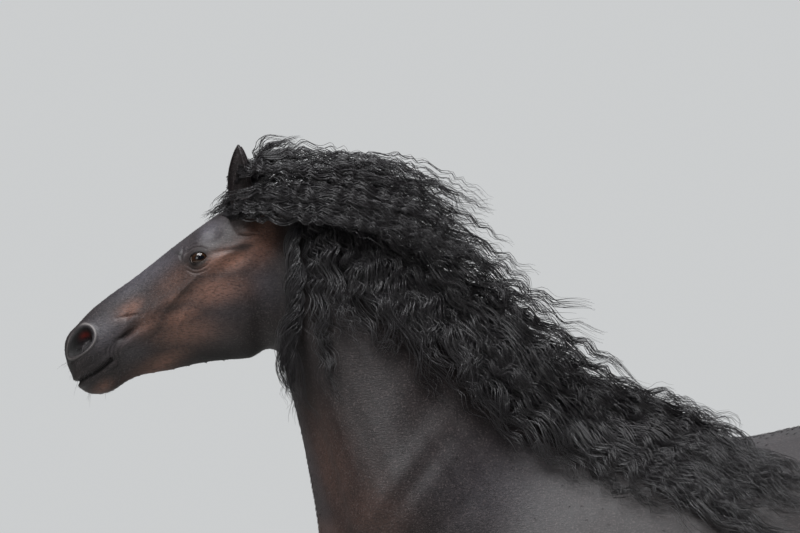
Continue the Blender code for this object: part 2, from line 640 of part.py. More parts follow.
def ball(name, middle, radius, pole, wide=16, high=9):
    """A sphere whose poles lie along the given direction."""
    work = bmesh.new()
    bmesh.ops.create_uvsphere(work, u_segments=wide, v_segments=high, radius=radius)
    turn = Vector(pole).to_track_quat("Z", "Y").to_matrix()
    for v in work.verts:
        v.co = turn @ v.co + Vector(middle)
    mesh = bpy.data.meshes.new(name)
    work.to_mesh(mesh)
    work.free()
    thing = bpy.data.objects.new(name, mesh)
    bpy.context.scene.collection.objects.link(thing)
    return thing


def eye_frame(side):
    """The eyeball's middle, and the directions out of the head, along the lids and up across them."""
    x, z = head_point(*EYE)
    out = Vector((-0.30, side * 0.93, 0.12)).normalized()
    middle = Vector((x - out.x * EYE_RADIUS, side * EYE_IN, z - out.z * EYE_RADIUS))
    ahead = Vector((-1, 0, -0.12))
    ahead = (ahead - ahead.dot(out) * out).normalized()
    up = out.cross(ahead) * side
    if up.z < 0:
        up = -up
    return middle, out, ahead, up


def almond(name, side):
    """A bar with the outline of the open lids, from the eyeball's middle outwards."""
    middle, out, ahead, up = eye_frame(side)
    ring = []
    for turn in np.arange(20) * math.tau / 20:
        a, b = math.cos(turn), math.sin(turn)
        wide = EYE_HALF * math.copysign(abs(a) ** 0.9, a)
        high = (LID_ABOVE if b > 0 else LID_BELOW) * math.copysign(abs(b) ** 1.25, b)
        ring.append(middle + ahead * wide + up * (high - 0.0012 * math.cos(turn)))
    near = np.array([p + out * 0.002 for p in ring])
    far = np.array([p + out * 0.045 for p in ring])
    return new_object(name, *closed_tube([near, far]))


def set_eyes(head):
    """Lids round each eye, a seat for the eyeball, and the eyeballs."""
    for side, name in ((-1, "eye_left"), (1, "eye_right")):
        middle, out = eye_frame(side)[:2]
        boolean(head, ball("lid", middle, EYE_RADIUS + LID, out), "UNION")
        boolean(head, almond("opening", side), "DIFFERENCE")
        boolean(head, ball("seat", middle, EYE_RADIUS + GAP, out), "DIFFERENCE")
        ball(name, middle, EYE_RADIUS, out)
    largest_shell(head)


# An ear's stations from base to tip: share of its length, half width, half depth
EAR = [(-0.16, 0.024, 0.020), (0.0, 0.027, 0.022), (0.18, 0.030, 0.023), (0.38, 0.031, 0.022),
       (0.60, 0.027, 0.018), (0.80, 0.018, 0.012), (0.93, 0.009, 0.006), (1.0, 0.002, 0.002)]
EAR_BASE, EAR_TIP = (-0.744, 0.060, 2.078), (-0.757, 0.074, 2.240)
EAR_WALL = 0.0045


def ear(side, name, head):
    """A cupped leaf, open outwards and a little forward."""
    base = Vector((EAR_BASE[0], side * EAR_BASE[1], EAR_BASE[2]))
    tip = Vector((EAR_TIP[0], side * EAR_TIP[1], EAR_TIP[2]))
    up = (tip - base).normalized()
    open_to = Vector((-0.42, side * 0.91, 0.0))
    open_to = (open_to - open_to.dot(up) * up).normalized()
    across = up.cross(open_to)
    outer, inner = [], []
    for share, wide, deep in EAR:
        middle = base + (tip - base) * share + open_to * 0.010 * math.sin(math.pi * max(share, 0))
        turn = np.arange(10) * math.tau / 10
        ring = [middle + across * wide * math.cos(a) + open_to * deep * math.sin(a) for a in turn]
        outer.append(np.array(ring))
        if 0.1 < share < 0.97:
            w, d = max(wide - EAR_WALL, 0.003), max(deep - EAR_WALL, 0.003)
            shifted = middle + open_to * (deep * 0.62 + EAR_WALL * 0.4)
            ring = [shifted + across * w * math.cos(a) + open_to * d * 1.35 * math.sin(a) for a in turn]
            inner.append(np.array(ring))
    thing = new_object(name, *closed_tube(outer))
    boolean(thing, new_object("cup", *closed_tube(inner)), "DIFFERENCE")
    boolean(thing, grown(head, "seat", GAP), "DIFFERENCE")
    largest_shell(thing)
    return thing


# The tail's core: x, z, half width, half depth
TAIL = [(1.010, 1.475, 0.028, 0.024), (1.065, 1.464, 0.034, 0.030), (1.104, 1.420, 0.036, 0.032),
        (1.120, 1.330, 0.036, 0.030), (1.126, 1.200, 0.034, 0.026), (1.126, 1.050, 0.028, 0.020),
        (1.124, 0.900, 0.010, 0.008)]
TAIL_LOCKS, TAIL_SIZE = 9, (0.096, 0.032)   # count; width, thickness
# Height, half width and half depth of the hanging hair
TAIL_SPREAD = [(1.40, 0.040, 0.034), (1.20, 0.062, 0.036), (0.90, 0.078, 0.040), (0.60, 0.074, 0.040),
               (0.35, 0.054, 0.032), (0.15, 0.030, 0.020)]
TAIL_SWAY = 0.016


def tail_core(torso):
    rows = through(TAIL, 2)
    heading = np.gradient(rows[:, :2], axis=0)
    turn = np.arange(12) * math.tau / 12
    rings = []
    heading /= np.linalg.norm(heading, axis=1)[:, None]
    for (x, z, wide, deep), (dx, dz) in zip(rows, heading):
        out = deep * np.cos(turn)
        rings.append(np.column_stack([x - out * dz, wide * np.sin(turn), z + out * dx]))
    thing = new_object("tail", *closed_tube(rings))
    boolean(thing, grown(torso, "seat", GAP), "DIFFERENCE")
    largest_shell(thing)
    return thing


def tail_locks(avoid):
    """Long hair all round the dock, falling to different heights."""
    chance = np.random.default_rng(5)
    core = np.array(TAIL)
    spread = np.array(TAIL_SPREAD)[::-1]
    locks = []
    for k in range(TAIL_LOCKS):
        turn = math.tau * (k * 0.618 % 1)
        top = 1.43 - 0.42 * ((k * 0.381) % 1)
        low = TAIL_TIP + 0.30 * ((k * 0.271) % 1) ** 2
        points, flat = [], []
        for i, z in enumerate(np.linspace(top, low, 7)):
            x = np.interp(z, core[::-1, 1], core[::-1, 0]) if z > 0.9 else 1.124
            wide, deep = (np.interp(z, spread[:, 0], spread[:, column]) for column in (1, 2))
            near = 0.25 if i == 0 else 0.72 + 0.2 * chance.random()
            way = Vector((deep * math.cos(turn), wide * math.sin(turn), 0)) * near
            points.append(Vector((x, 0, z)) + way)
            flat.append(Vector((math.cos(turn) * wide, math.sin(turn) * deep, 0)))
        locks.append(lock(f"tail{k}", points, flat, *TAIL_SIZE, avoid, TAIL_SWAY, 2.4 * k))
    return locks


# The crest line, from the poll to behind the withers, on which the mane stands: x, z
CREST = [(-0.640, 2.112), (-0.560, 2.086), (-0.450, 2.018), (-0.340, 1.925), (-0.230, 1.818),
         (-0.120, 1.712), (-0.055, 1.662)]
# Side-view courses of the blown mane, at even steps along the crest. The high family lifts off the crest,
# the low one falls over the side of the neck. Each has x, z at four steps from root to tip.
HIGH = [
    [(-0.585, 2.190), (-0.455, 2.218), (-0.300, 2.172), (-0.130, 2.095)],
    [(-0.480, 2.150), (-0.345, 2.140), (-0.200, 2.060), (-0.060, 1.975)],
    [(-0.385, 2.075), (-0.255, 2.035), (-0.110, 1.945), (0.060, 1.865)],
    [(-0.275, 1.975), (-0.145, 1.915), (0.015, 1.835), (0.190, 1.765)],
    [(-0.165, 1.865), (-0.030, 1.800), (0.130, 1.720), (0.300, 1.640)],
    [(-0.055, 1.760), (0.075, 1.705), (0.235, 1.640), (0.400, 1.575)],
    [(0.040, 1.680), (0.170, 1.655), (0.320, 1.615), (0.480, 1.565)],
    [(0.120, 1.640), (0.240, 1.620), (0.380, 1.590), (0.540, 1.560)],
]
LOW = [
    [(-0.600, 2.020), (-0.598, 1.860), (-0.604, 1.700), (-0.590, 1.530)],
    [(-0.520, 1.990), (-0.470, 1.890), (-0.430, 1.800), (-0.370, 1.715)],
    [(-0.420, 1.910), (-0.365, 1.800), (-0.325, 1.690), (-0.270, 1.590)],
    [(-0.305, 1.815), (-0.245, 1.705), (-0.185, 1.600), (-0.110, 1.500)],
    [(-0.195, 1.715), (-0.125, 1.610), (-0.045, 1.505), (0.060, 1.410)],
    [(-0.085, 1.620), (0.000, 1.530), (0.100, 1.440), (0.220, 1.355)],
    [(0.020, 1.560), (0.110, 1.480), (0.230, 1.400), (0.370, 1.330)],
    [(0.110, 1.550), (0.210, 1.480), (0.350, 1.400), (0.520, 1.330)],
]
MANE_LOCKS = 27
POLL_CROWD = 1.5                # above 1, locks stand closer together near the poll
MANE_STEPS = (0.0, 0.10, 0.31, 0.54, 0.78, 1.0)   # where a lock's rings stand along its course
MANE_WIDTH, MANE_THICKNESS = 0.122, 0.034
WAVE, WAVES = 0.010, 1.3        # sideways swing of a mane lock, and how often it swings
HAIR_CLEAR = 0.006              # distance kept between hair and the nodes it doesn't grow from
DEEPEST = 0.08                  # farther than this from a surface, a point is taken to lie outside it
SPLIT = (-0.640, 2.120, 0.55)   # x, z and lean of the line that parts the forelock from the mane


def along_course(points, share):
    """Points at the given shares of a course through a few points."""
    fine = through(points, 8)
    length = np.concatenate([[0], np.cumsum(np.linalg.norm(np.diff(fine, axis=0), axis=1))])
    at = np.asarray(share) * length[-1]
    return np.column_stack([np.interp(at, length, fine[:, axis]) for axis in range(fine.shape[1])])


def between(family, where):
    """A course between two neighbours of a family, where running from 0 to 1."""
    at = where * (len(family) - 1)
    low = min(int(at), len(family) - 2)
    return np.array(family[low]) + (np.array(family[low + 1]) - np.array(family[low])) * (at - low)


def tree_of(things):
    """One search tree over the surfaces of several objects."""
    points, faces = [], []
    for thing in things:
        base = len(points)
        points += [tuple(v.co) for v in thing.data.vertices]
        faces += [tuple(i + base for i in p.vertices) for p in thing.data.polygons]
    return BVHTree.FromPolygons(points, faces)


def depth_in(tree, point):
    """How far a point lies outside the surface, negative inside, and the way out."""
    spot, normal, _, distance = tree.find_nearest(point)
    if distance < DEEPEST and (point - spot).dot(normal) < 0:
        return -distance, normal
    return distance, normal


# A lock's fullness along its course
LOCK_BODY = ((0.0, 0.10, 0.32, 0.55, 0.80, 1.0), (0.32, 0.55, 0.95, 1.0, 0.66, 0.0))


def lock(name, course, flat, wide, thick, avoid, swing, phase, clamp=None):
    """A flat tapered lock along a course of points. flat is the way that its broad side faces."""
    count = len(course)
    points = [Vector(p) for p in course]
    rings = []
    for i, point in enumerate(points):
        t = i / (count - 1)
        heading = (points[min(i + 1, count - 1)] - points[max(i - 1, 0)]).normalized()
        side = heading.cross(flat[i]).normalized()
        face = side.cross(heading).normalized()
        body = float(np.interp(t, *LOCK_BODY))
        half_wide = max(wide / 2 * body, 0.0025)
        half_thick = max(thick / 2 * body, 0.0018)
        middle = point + side * (swing * math.sin(math.tau * WAVES * t + phase) * min(4 * t, 1))
        ring = [middle + side * half_wide, middle + face * half_thick,
                middle - side * half_wide, middle - face * half_thick]
        if i > 0:
            for _ in range(4):
                depths = [depth_in(tree, p) for tree in avoid for p in ring + [middle]]
                worst, way = min(depths, key=lambda found: found[0])
                if worst < HAIR_CLEAR:
                    ring = [p + way * (HAIR_CLEAR * 1.15 - worst) for p in ring]
                    middle += way * (HAIR_CLEAR * 1.15 - worst)
        if clamp:
            ring = [clamp(p) for p in ring]
        rings.append(np.array([tuple(p) for p in ring]))
    return new_object(name, *closed_tube(rings))


def split_at(z):
    """x of the line between forelock and mane at height z."""
    return SPLIT[0] + max(z - SPLIT[1], 0) * SPLIT[2]


def behind_split(point):
    """Keeps mane hair behind the line between it and the forelock, and off the head."""
    return Vector((max(point.x, split_at(point.z) + HAIR_CLEAR), point.y, point.z))


def before_split(point):
    return Vector((min(point.x, split_at(point.z) - HAIR_CLEAR), point.y, point.z))


def side_of(body, x, z, side):
    """How far out the body's surface lies at x, z in side view, or None above and beside it."""
    spot = body.ray_cast(Vector((x, side * 1.0, z)), Vector((0, -side, 0)))[0]
    return abs(spot.y) if spot else None


def mane_locks(body, others):
    """Locks from the crest, most on the left side, lifted and blown back."""
    chance = np.random.default_rng(7)
    locks = []
    for k in range(MANE_LOCKS):
        where = ((k + 0.5) / MANE_LOCKS) ** POLL_CROWD
        fall = (k * 0.618) % 1
        side = 1 if k % 3 == 2 else -1
        root = along_course(CREST, [where])[0]
        course = between(HIGH, where) * (1 - fall) + between(LOW, where) * fall
        reach = 0.85 + 0.15 * chance.random()
        layer = 0.012 + 0.030 * chance.random()
        path = along_course(np.vstack([root, course]), np.array(MANE_STEPS) * reach)
        points, flat = [], []
        for i, (x, z) in enumerate(path):
            t = MANE_STEPS[i]
            out = (0.010 + (0.03 + 0.10 * fall) * smooth(t * 1.4)) * (1.0 if side < 0 else 0.8)
            flesh_at = side_of(body, x, z, side)
            if flesh_at is not None and i > 0:
                out = max(out, flesh_at + layer)
            points.append(Vector((x, side * out * (i > 0), z - 0.032 * (i == 0))))
            flat.append(Vector((0, side * (0.25 + 0.75 * fall * min(2 * t, 1)), 0.9 - 0.7 * fall)))
        wide = MANE_WIDTH * (0.8 + 0.4 * chance.random())
        thick = MANE_THICKNESS * (0.8 + 0.4 * chance.random())
        locks.append(lock(f"mane{k}", points, flat, wide, thick, [body] + others, WAVE,
                          math.tau * chance.random(), behind_split))
    return locks


# The forelock: courses of x, y, z from between the ears
FORELOCK = [
    [(-0.715, 0.000, 2.120), (-0.722, -0.010, 2.185), (-0.690, -0.020, 2.235), (-0.625, -0.025, 2.255)],
    [(-0.705, -0.012, 2.120), (-0.700, -0.028, 2.175), (-0.665, -0.040, 2.215), (-0.610, -0.045, 2.225)],
    [(-0.705, 0.012, 2.120), (-0.700, 0.030, 2.180), (-0.665, 0.045, 2.220), (-0.610, 0.052, 2.230)],
    [(-0.725, -0.004, 2.115), (-0.752, -0.012, 2.140), (-0.785, -0.020, 2.112), (-0.820, -0.028, 2.078)],
    [(-0.725, 0.006, 2.115), (-0.755, 0.014, 2.138), (-0.790, 0.024, 2.106), (-0.828, 0.030, 2.064)],
]
FORELOCK_SIZE = (0.046, 0.020)  # width, thickness
FORELOCK_SWAY = 0.003


def forelock_locks(body, others):
    locks = []
    for k, course in enumerate(FORELOCK):
        points = [Vector(p) for p in along_course(course, np.linspace(0, 1, 5))]
        flat = [Vector((0.3, 0, 1))] * len(points)
        locks.append(lock(f"forelock{k}", points, flat, *FORELOCK_SIZE, [body] + others,
                          FORELOCK_SWAY, k, before_split))
    return locks


FEATHER_TOP = {"fore": 0.300, "hind": 0.320}
FEATHER_LOCKS, FEATHER_SIZE = 6, (0.074, 0.021)   # count; width, thickness
FEATHER_TURN = math.radians(100)                  # how far round the leg from the back it grows
FEATHER_SWAY = 0.003
# The feather's spread round the leg: height, distance from the leg's middle
FEATHER_SPREAD = [(0.30, 0.036), (0.25, 0.056), (0.19, 0.070), (0.12, 0.082), (0.06, 0.090), (0.025, 0.092)]


def feather_locks(name, hoof_tree):
    """Long hair from the back of the cannon and pastern, down over the heels and the sides of the hoof."""
    shift, side = LEGS[name]
    kind = name[:4]
    rows = np.array(FORELEG if kind == "fore" else HINDLEG)
    middle_z = (rows[:, 1] + rows[:, 3])[::-1] / 2
    middle_x = (rows[:, 0] + rows[:, 2])[::-1] / 2
    toe, heel, _ = GROUND[kind]
    spread = np.array(FEATHER_SPREAD)[::-1]
    chance = np.random.default_rng(11)
    locks = []
    for k in range(FEATHER_LOCKS):
        share = 2 * k / (FEATHER_LOCKS - 1) - 1
        turn, front = FEATHER_TURN * share, abs(share)
        top = FEATHER_TOP[kind] - 0.12 * front + 0.01 * chance.random()
        low = 0.020 + 0.014 * chance.random() + 0.022 * front
        points, flat = [], []
        for i, z in enumerate(np.linspace(top, low, 4)):
            centre = np.interp(z, [0, *middle_z], [(toe + heel) / 2, *middle_x]) + shift
            far = np.interp(z, spread[:, 0], spread[:, 1]) * (1 - 0.14 * front) if i else 0.012
            way = Vector((math.cos(turn), math.sin(turn), 0))
            points.append(Vector((centre, side, z)) + way * far)
            flat.append(way)
        locks.append(lock(f"feather{k}", points, flat, *FEATHER_SIZE, [hoof_tree], FEATHER_SWAY, k))
    return locks


# Colours and roughness of each kind of node
LOOKS = {
    "head": ((0.048, 0.030, 0.024), 0.50), "neck": ((0.026, 0.020, 0.020), 0.48),
    "torso": ((0.026, 0.021, 0.020), 0.48), "foreleg": ((0.020, 0.016, 0.015), 0.52),
    "hindleg": ((0.020, 0.016, 0.015), 0.52), "tail": ((0.012, 0.011, 0.013), 0.45),
    "ear": ((0.028, 0.020, 0.017), 0.60), "eye": ((0.020, 0.010, 0.006), 0.06),
    "hoof": ((0.045, 0.042, 0.040), 0.42),
}


def give_material(thing):
    colour, rough = LOOKS[thing.name.split("_")[0]]
    material = bpy.data.materials.new(thing.name)
    material.use_nodes = True
    shader = material.node_tree.nodes["Principled BSDF"]
    shader.inputs["Base Color"].default_value = (*colour, 1)
    shader.inputs["Roughness"].default_value = rough
    thing.data.materials.clear()
    thing.data.materials.append(material)


def main():
    for old in list(bpy.data.objects):
        bpy.data.objects.remove(old)
    flesh = rounded_flesh()
    shape_flesh(flesh.data)
    triangulated(flesh)
    thinned(flesh, [(on_head, HEAD_FACES), (on_legs, LEG_FACES),
                    (on_neck, NECK_FACES), (on_trunk, TORSO_FACES)])
    body = tree_of([flesh])
    nodes = parted(flesh)
    set_eyes(nodes["head"])
    for side, name in ((-1, "ear_left"), (1, "ear_right")):
        nodes[name] = ear(side, name, nodes["head"])
    ears = tree_of([nodes["ear_left"], nodes["ear_right"]])
    fuse_pieces(tail_core(nodes["torso"]), tail_locks([body]))
    for name in LEGS:
        fuse_pieces(nodes[name], feather_locks(name, tree_of([hoof(name)])))
    fuse_pieces(nodes["head"], forelock_locks(body, [ears]))
    fuse_pieces(nodes["neck"], mane_locks(body, [ears]))
    for other in ("torso", "head"):
        boolean(nodes["neck"], grown(nodes[other], "room", 0.8 * GAP), "DIFFERENCE")
    largest_shell(nodes["neck"])
    for thing in bpy.data.objects:
        give_material(thing)


main()
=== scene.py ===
# %% [markdown]
# # A Friesian stallion, life size
# The horse stands square on four hoofs, with its neck raised and its long black mane blown back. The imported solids
# give its size and place. This script dresses them: one skin over all the flesh, eyes, hoofs, and thousands of
# fine strands for the mane, forelock, tail and feathers. Lengths are in metres. +X runs from head to tail, +Z up.

# %% Load the frame
import math

import bmesh
import bpy
import numpy as np
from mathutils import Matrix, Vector
from mathutils.bvhtree import BVHTree


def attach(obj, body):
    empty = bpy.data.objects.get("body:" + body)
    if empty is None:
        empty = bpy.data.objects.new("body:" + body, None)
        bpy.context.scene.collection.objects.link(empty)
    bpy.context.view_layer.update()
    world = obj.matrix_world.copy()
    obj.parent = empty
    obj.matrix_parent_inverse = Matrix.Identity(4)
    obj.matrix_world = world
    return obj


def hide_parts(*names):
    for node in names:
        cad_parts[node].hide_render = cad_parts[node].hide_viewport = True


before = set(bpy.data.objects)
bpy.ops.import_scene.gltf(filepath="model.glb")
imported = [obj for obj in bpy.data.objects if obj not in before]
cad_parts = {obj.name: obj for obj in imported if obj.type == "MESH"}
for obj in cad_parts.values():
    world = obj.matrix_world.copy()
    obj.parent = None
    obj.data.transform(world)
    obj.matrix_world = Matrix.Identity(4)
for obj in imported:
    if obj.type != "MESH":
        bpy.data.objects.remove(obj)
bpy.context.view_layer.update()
print("nodes:", sorted(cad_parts))

# %% [markdown]
# ## Camera
# The photograph was taken level from the horse's left, with a long lens, so the camera stands far off and sees a
# field 1.92 m wide at the horse's middle. A near camera with a wide field would swell the muzzle and the shoulder.

# %% Camera
VIEW_MIDDLE = (-0.372, 1.950)   # x and z that the picture is centred on
VIEW_WIDTH = 1.92
VIEW_FAR = 9.0
SENSOR = 36.0
eye_point = bpy.data.cameras.new("camera")
eye_point.sensor_width = SENSOR
eye_point.lens = SENSOR * VIEW_FAR / VIEW_WIDTH
eye_point.clip_end = 60
camera = bpy.data.objects.new("camera", eye_point)
camera.location = (VIEW_MIDDLE[0], -VIEW_FAR, VIEW_MIDDLE[1])
camera.rotation_euler = (math.pi / 2, 0, 0)
bpy.context.scene.collection.objects.link(camera)
bpy.context.scene.camera = camera
print("lens:", round(eye_point.lens, 1), "mm")

# %% [markdown]
# ## Finishes
# Every material is worked out from nodes. Sums on a shader's numbers read best as plain Python, so a small class
# wraps a socket and turns +, -, * and / into Math nodes. One method makes every other kind of node.


# %% A socket that can be calculated with
class Amount:
    """A number on its way through a material's nodes."""

    def __init__(self, finish, socket):
        self.finish, self.socket = finish, socket

    def sum_with(self, operation, a, b=0.0):
        return self.finish.add("ShaderNodeMath", {"operation": operation}, {0: a, 1: b})

    def __add__(self, other):
        return self.sum_with("ADD", self, other)

    def __sub__(self, other):
        return self.sum_with("SUBTRACT", self, other)

    def __rsub__(self, other):
        return self.sum_with("SUBTRACT", other, self)

    def __mul__(self, other):
        return self.sum_with("MULTIPLY", self, other)

    def __truediv__(self, other):
        return self.sum_with("DIVIDE", self, other)

    def __pow__(self, other):
        return self.sum_with("POWER", self, other)

    __radd__ = __add__
    __rmul__ = __mul__

    def between(self, low, high):
        """0 below low, 1 above high, softly in between."""
        settings = {"interpolation_type": "SMOOTHSTEP"}
        return self.finish.add("ShaderNodeMapRange", settings, {0: self, 1: low, 2: high, 3: 0.0, 4: 1.0})


class Finish:
    """A material being made."""

    def __init__(self, name):
        self.material = bpy.data.materials.new(name)
        self.material.use_nodes = True
        self.sheet = self.material.node_tree
        self.shader = self.sheet.nodes["Principled BSDF"]

    def put(self, socket, value):
        if isinstance(value, Amount):
            self.sheet.links.new(value.socket, socket)
        elif isinstance(value, tuple) and socket.type == "RGBA":
            socket.default_value = (*value[:3], 1)
        else:
            socket.default_value = value

    def add(self, kind, settings, sockets, out=0):
        node = self.sheet.nodes.new(kind)
        for name, value in settings.items():
            setattr(node, name, value)
        for name, value in sockets.items():
            self.put(node.inputs[name], value)
        return Amount(self, node.outputs[out])

    def mix(self, share, a, b, blend="MIX"):
        """Colour a where share is 0, b where it is 1."""
        return self.add("ShaderNodeMix", {"data_type": "RGBA", "blend_type": blend}, {0: share, 6: a, 7: b}, 2)

    def place(self, size=(1, 1, 1), turn=(0, 0, 0)):
        """Object coordinates, stretched and turned for a pattern."""
        spot = self.add("ShaderNodeTexCoord", {}, {}, 3)
        return self.add("ShaderNodeMapping", {}, {"Vector": spot, "Rotation": turn, "Scale": size})

    def noise(self, scale, detail=3.0, rough=0.5, at=None, out=0):
        sockets = {"Vector": at or self.place(), "Scale": scale, "Detail": detail, "Roughness": rough}
        return self.add("ShaderNodeTexNoise", {}, sockets, out)

    def read(self, name):
        """A number that the mesh carries on its points."""
        return self.add("ShaderNodeAttribute", {"attribute_name": name}, {}, 2)

    def bump(self, height, distance, strength=1.0, under=None):
        sockets = {"Height": height, "Distance": distance, "Strength": strength}
        if under:
            sockets["Normal"] = under
        return self.add("ShaderNodeBump", {}, sockets)

    def done(self, **sockets):
        """Sets the shader's sockets and returns the material."""
        for name, value in sockets.items():
            self.put(self.shader.inputs[name.replace("_", " ")], value)
        return self.material


print("finishes are ready to mix")

# %% [markdown]
# ## Floor and light
# A plain pale floor and three wide soft lamps, as in a studio. The main light comes from above and the camera's
# side, like the overcast sky of the picture, and a weaker one behind draws the outline of the dark hair.

# %% Floor and lights
FLOOR_SIZE = 7.0
floor_mesh = bpy.data.meshes.new("floor")
corners = [(-FLOOR_SIZE, -FLOOR_SIZE, 0), (FLOOR_SIZE, -FLOOR_SIZE, 0), (FLOOR_SIZE, FLOOR_SIZE, 0),
           (-FLOOR_SIZE, FLOOR_SIZE, 0)]
floor_mesh.from_pydata(corners, [], [(0, 1, 2, 3)])
floor = bpy.data.objects.new("floor", floor_mesh)
bpy.context.scene.collection.objects.link(floor)
paint = Finish("floor paint")
floor_mesh.materials.append(paint.done(Base_Color=(0.62, 0.62, 0.60), Roughness=0.8))

LAMPS = [  # name, place, size, watts, colour
    ("sky", (-1.3, -2.0, 6.4), 4.0, 600, (0.97, 0.98, 1.0)),
    ("side", (-4.5, -4.5, 3.2), 2.5, 45, (1.0, 0.98, 0.95)),
    ("behind", (0.2, 3.5, 5.2), 3.0, 55, (0.94, 0.97, 1.0)),
]
for name, where, size, watts, colour in LAMPS:
    lamp = bpy.data.lights.new(name, "AREA")
    lamp.shape, lamp.size, lamp.energy, lamp.color = "SQUARE", size, watts, colour
    lamp_object = bpy.data.objects.new(name, lamp)
    lamp_object.location = where
    lamp_object.rotation_euler = (Vector((0, 0, 1.4)) - Vector(where)).to_track_quat("-Z", "Y").to_euler()
    bpy.context.scene.collection.objects.link(lamp_object)

# The pale backdrop is bright to look at, and gives off only a tenth of that light, so that it doesn't flatten forms
BACKDROP, FILL = 0.62, 0.06
world = bpy.data.worlds.new("studio")
world.use_nodes = True
sheet = world.node_tree
background = sheet.nodes["Background"]
background.inputs["Color"].default_value = (0.97, 0.99, 1.0, 1)
path = sheet.nodes.new("ShaderNodeLightPath")
level = sheet.nodes.new("ShaderNodeMapRange")
level.inputs["To Min"].default_value, level.inputs["To Max"].default_value = FILL, BACKDROP
sheet.links.new(path.outputs["Is Camera Ray"], level.inputs["Value"])
sheet.links.new(level.outputs["Result"], background.inputs["Strength"])
bpy.context.scene.world = world
bpy.context.scene.view_settings.view_transform = "Standard"
print(len(LAMPS), "lamps")

# %% [markdown]
# ## The body in numbers
# The flesh is a set of closed lofts. Each row is one section across the trunk, the neck, the head or a leg: its
# upper and lower point in side view and its half width at five levels between them. The same rows shaped the solids,
# so the skin falls into place over them.

# %% Rows of the trunk and the neck
# Driving dimensions
POLL = (-0.713, 2.134)          # x, z of the point between the ears
NOSE_SLOPE = math.radians(36.2)  # the nasal line, below level
EYE_RADIUS = 0.0235
GAP = 0.0003                    # clearance between nodes
VOXEL = 0.006                   # grid on which the fused flesh is remade
RING = 36                       # points round a section
SPAN = 6                        # rings between two stations
LEVELS = np.array([0.0, 0.25, 0.5, 0.75, 1.0])
# How far each hoof is set forward (-) or back (+) of square, and the leg's distance from the middle
LEGS = {
    "foreleg_left": (-0.050, -0.160), "foreleg_right": (0.045, 0.160),
    "hindleg_left": (0.030, -0.150), "hindleg_right": (-0.085, 0.150),
}
FORE_TOP, HIND_TOP = 0.95, 1.08  # heights below which a leg follows its hoof
# A section's row: x, z of its upper or front point, x, z of its lower or rear point,
# then the half widths at five levels from the first point to the second.
TORSO = [
    (-0.580, 1.170, -0.580, 1.090, 0.030, 0.045, 0.050, 0.045, 0.030),
    (-0.566, 1.235, -0.562, 1.010, 0.070, 0.110, 0.122, 0.112, 0.078),
    (-0.520, 1.290, -0.512, 0.940, 0.092, 0.150, 0.182, 0.176, 0.125),
    (-0.440, 1.400, -0.435, 0.875, 0.110, 0.190, 0.234, 0.228, 0.165),
    (-0.330, 1.500, -0.330, 0.828, 0.090, 0.175, 0.255, 0.266, 0.200),
    (-0.200, 1.562, -0.200, 0.812, 0.072, 0.155, 0.258, 0.280, 0.225),
    (-0.060, 1.610, -0.060, 0.804, 0.064, 0.150, 0.265, 0.296, 0.250),
    (0.050, 1.620, 0.050, 0.798, 0.070, 0.172, 0.284, 0.312, 0.270),
    (0.180, 1.588, 0.180, 0.793, 0.105, 0.225, 0.308, 0.326, 0.284),
    (0.320, 1.552, 0.320, 0.797, 0.155, 0.268, 0.326, 0.334, 0.284),
    (0.450, 1.543, 0.450, 0.820, 0.185, 0.285, 0.326, 0.328, 0.268),
    (0.590, 1.570, 0.590, 0.870, 0.200, 0.286, 0.310, 0.300, 0.226),
    (0.700, 1.592, 0.700, 0.930, 0.205, 0.284, 0.296, 0.264, 0.172),
    (0.800, 1.594, 0.800, 0.980, 0.205, 0.278, 0.290, 0.240, 0.140),
    (0.890, 1.570, 0.890, 1.025, 0.188, 0.262, 0.275, 0.222, 0.120),
    (0.970, 1.520, 0.970, 1.080, 0.150, 0.228, 0.242, 0.195, 0.105),
    (1.035, 1.440, 1.035, 1.150, 0.105, 0.175, 0.188, 0.150, 0.080),
    (1.066, 1.370, 1.066, 1.230, 0.055, 0.090, 0.095, 0.080, 0.045),
]
NECK = [
    (0.160, 1.500, -0.250, 1.020, 0.020, 0.060, 0.100, 0.110, 0.080),
    (0.050, 1.596, -0.450, 1.080, 0.034, 0.108, 0.180, 0.204, 0.164),
    (-0.070, 1.668, -0.560, 1.205, 0.046, 0.132, 0.212, 0.238, 0.196),
    (-0.165, 1.752, -0.570, 1.322, 0.048, 0.118, 0.184, 0.206, 0.172),
    (-0.270, 1.858, -0.590, 1.447, 0.046, 0.100, 0.144, 0.160, 0.136),
    (-0.382, 1.972, -0.616, 1.574, 0.044, 0.086, 0.114, 0.124, 0.106),
    (-0.494, 2.066, -0.640, 1.665, 0.043, 0.078, 0.098, 0.102, 0.086),
    (-0.600, 2.118, -0.660, 1.735, 0.042, 0.072, 0.088, 0.088, 0.072),
    (-0.690, 2.122, -0.700, 1.830, 0.038, 0.060, 0.070, 0.066, 0.050),
]
print(len(TORSO), "sections of the trunk,", len(NECK), "of the neck")

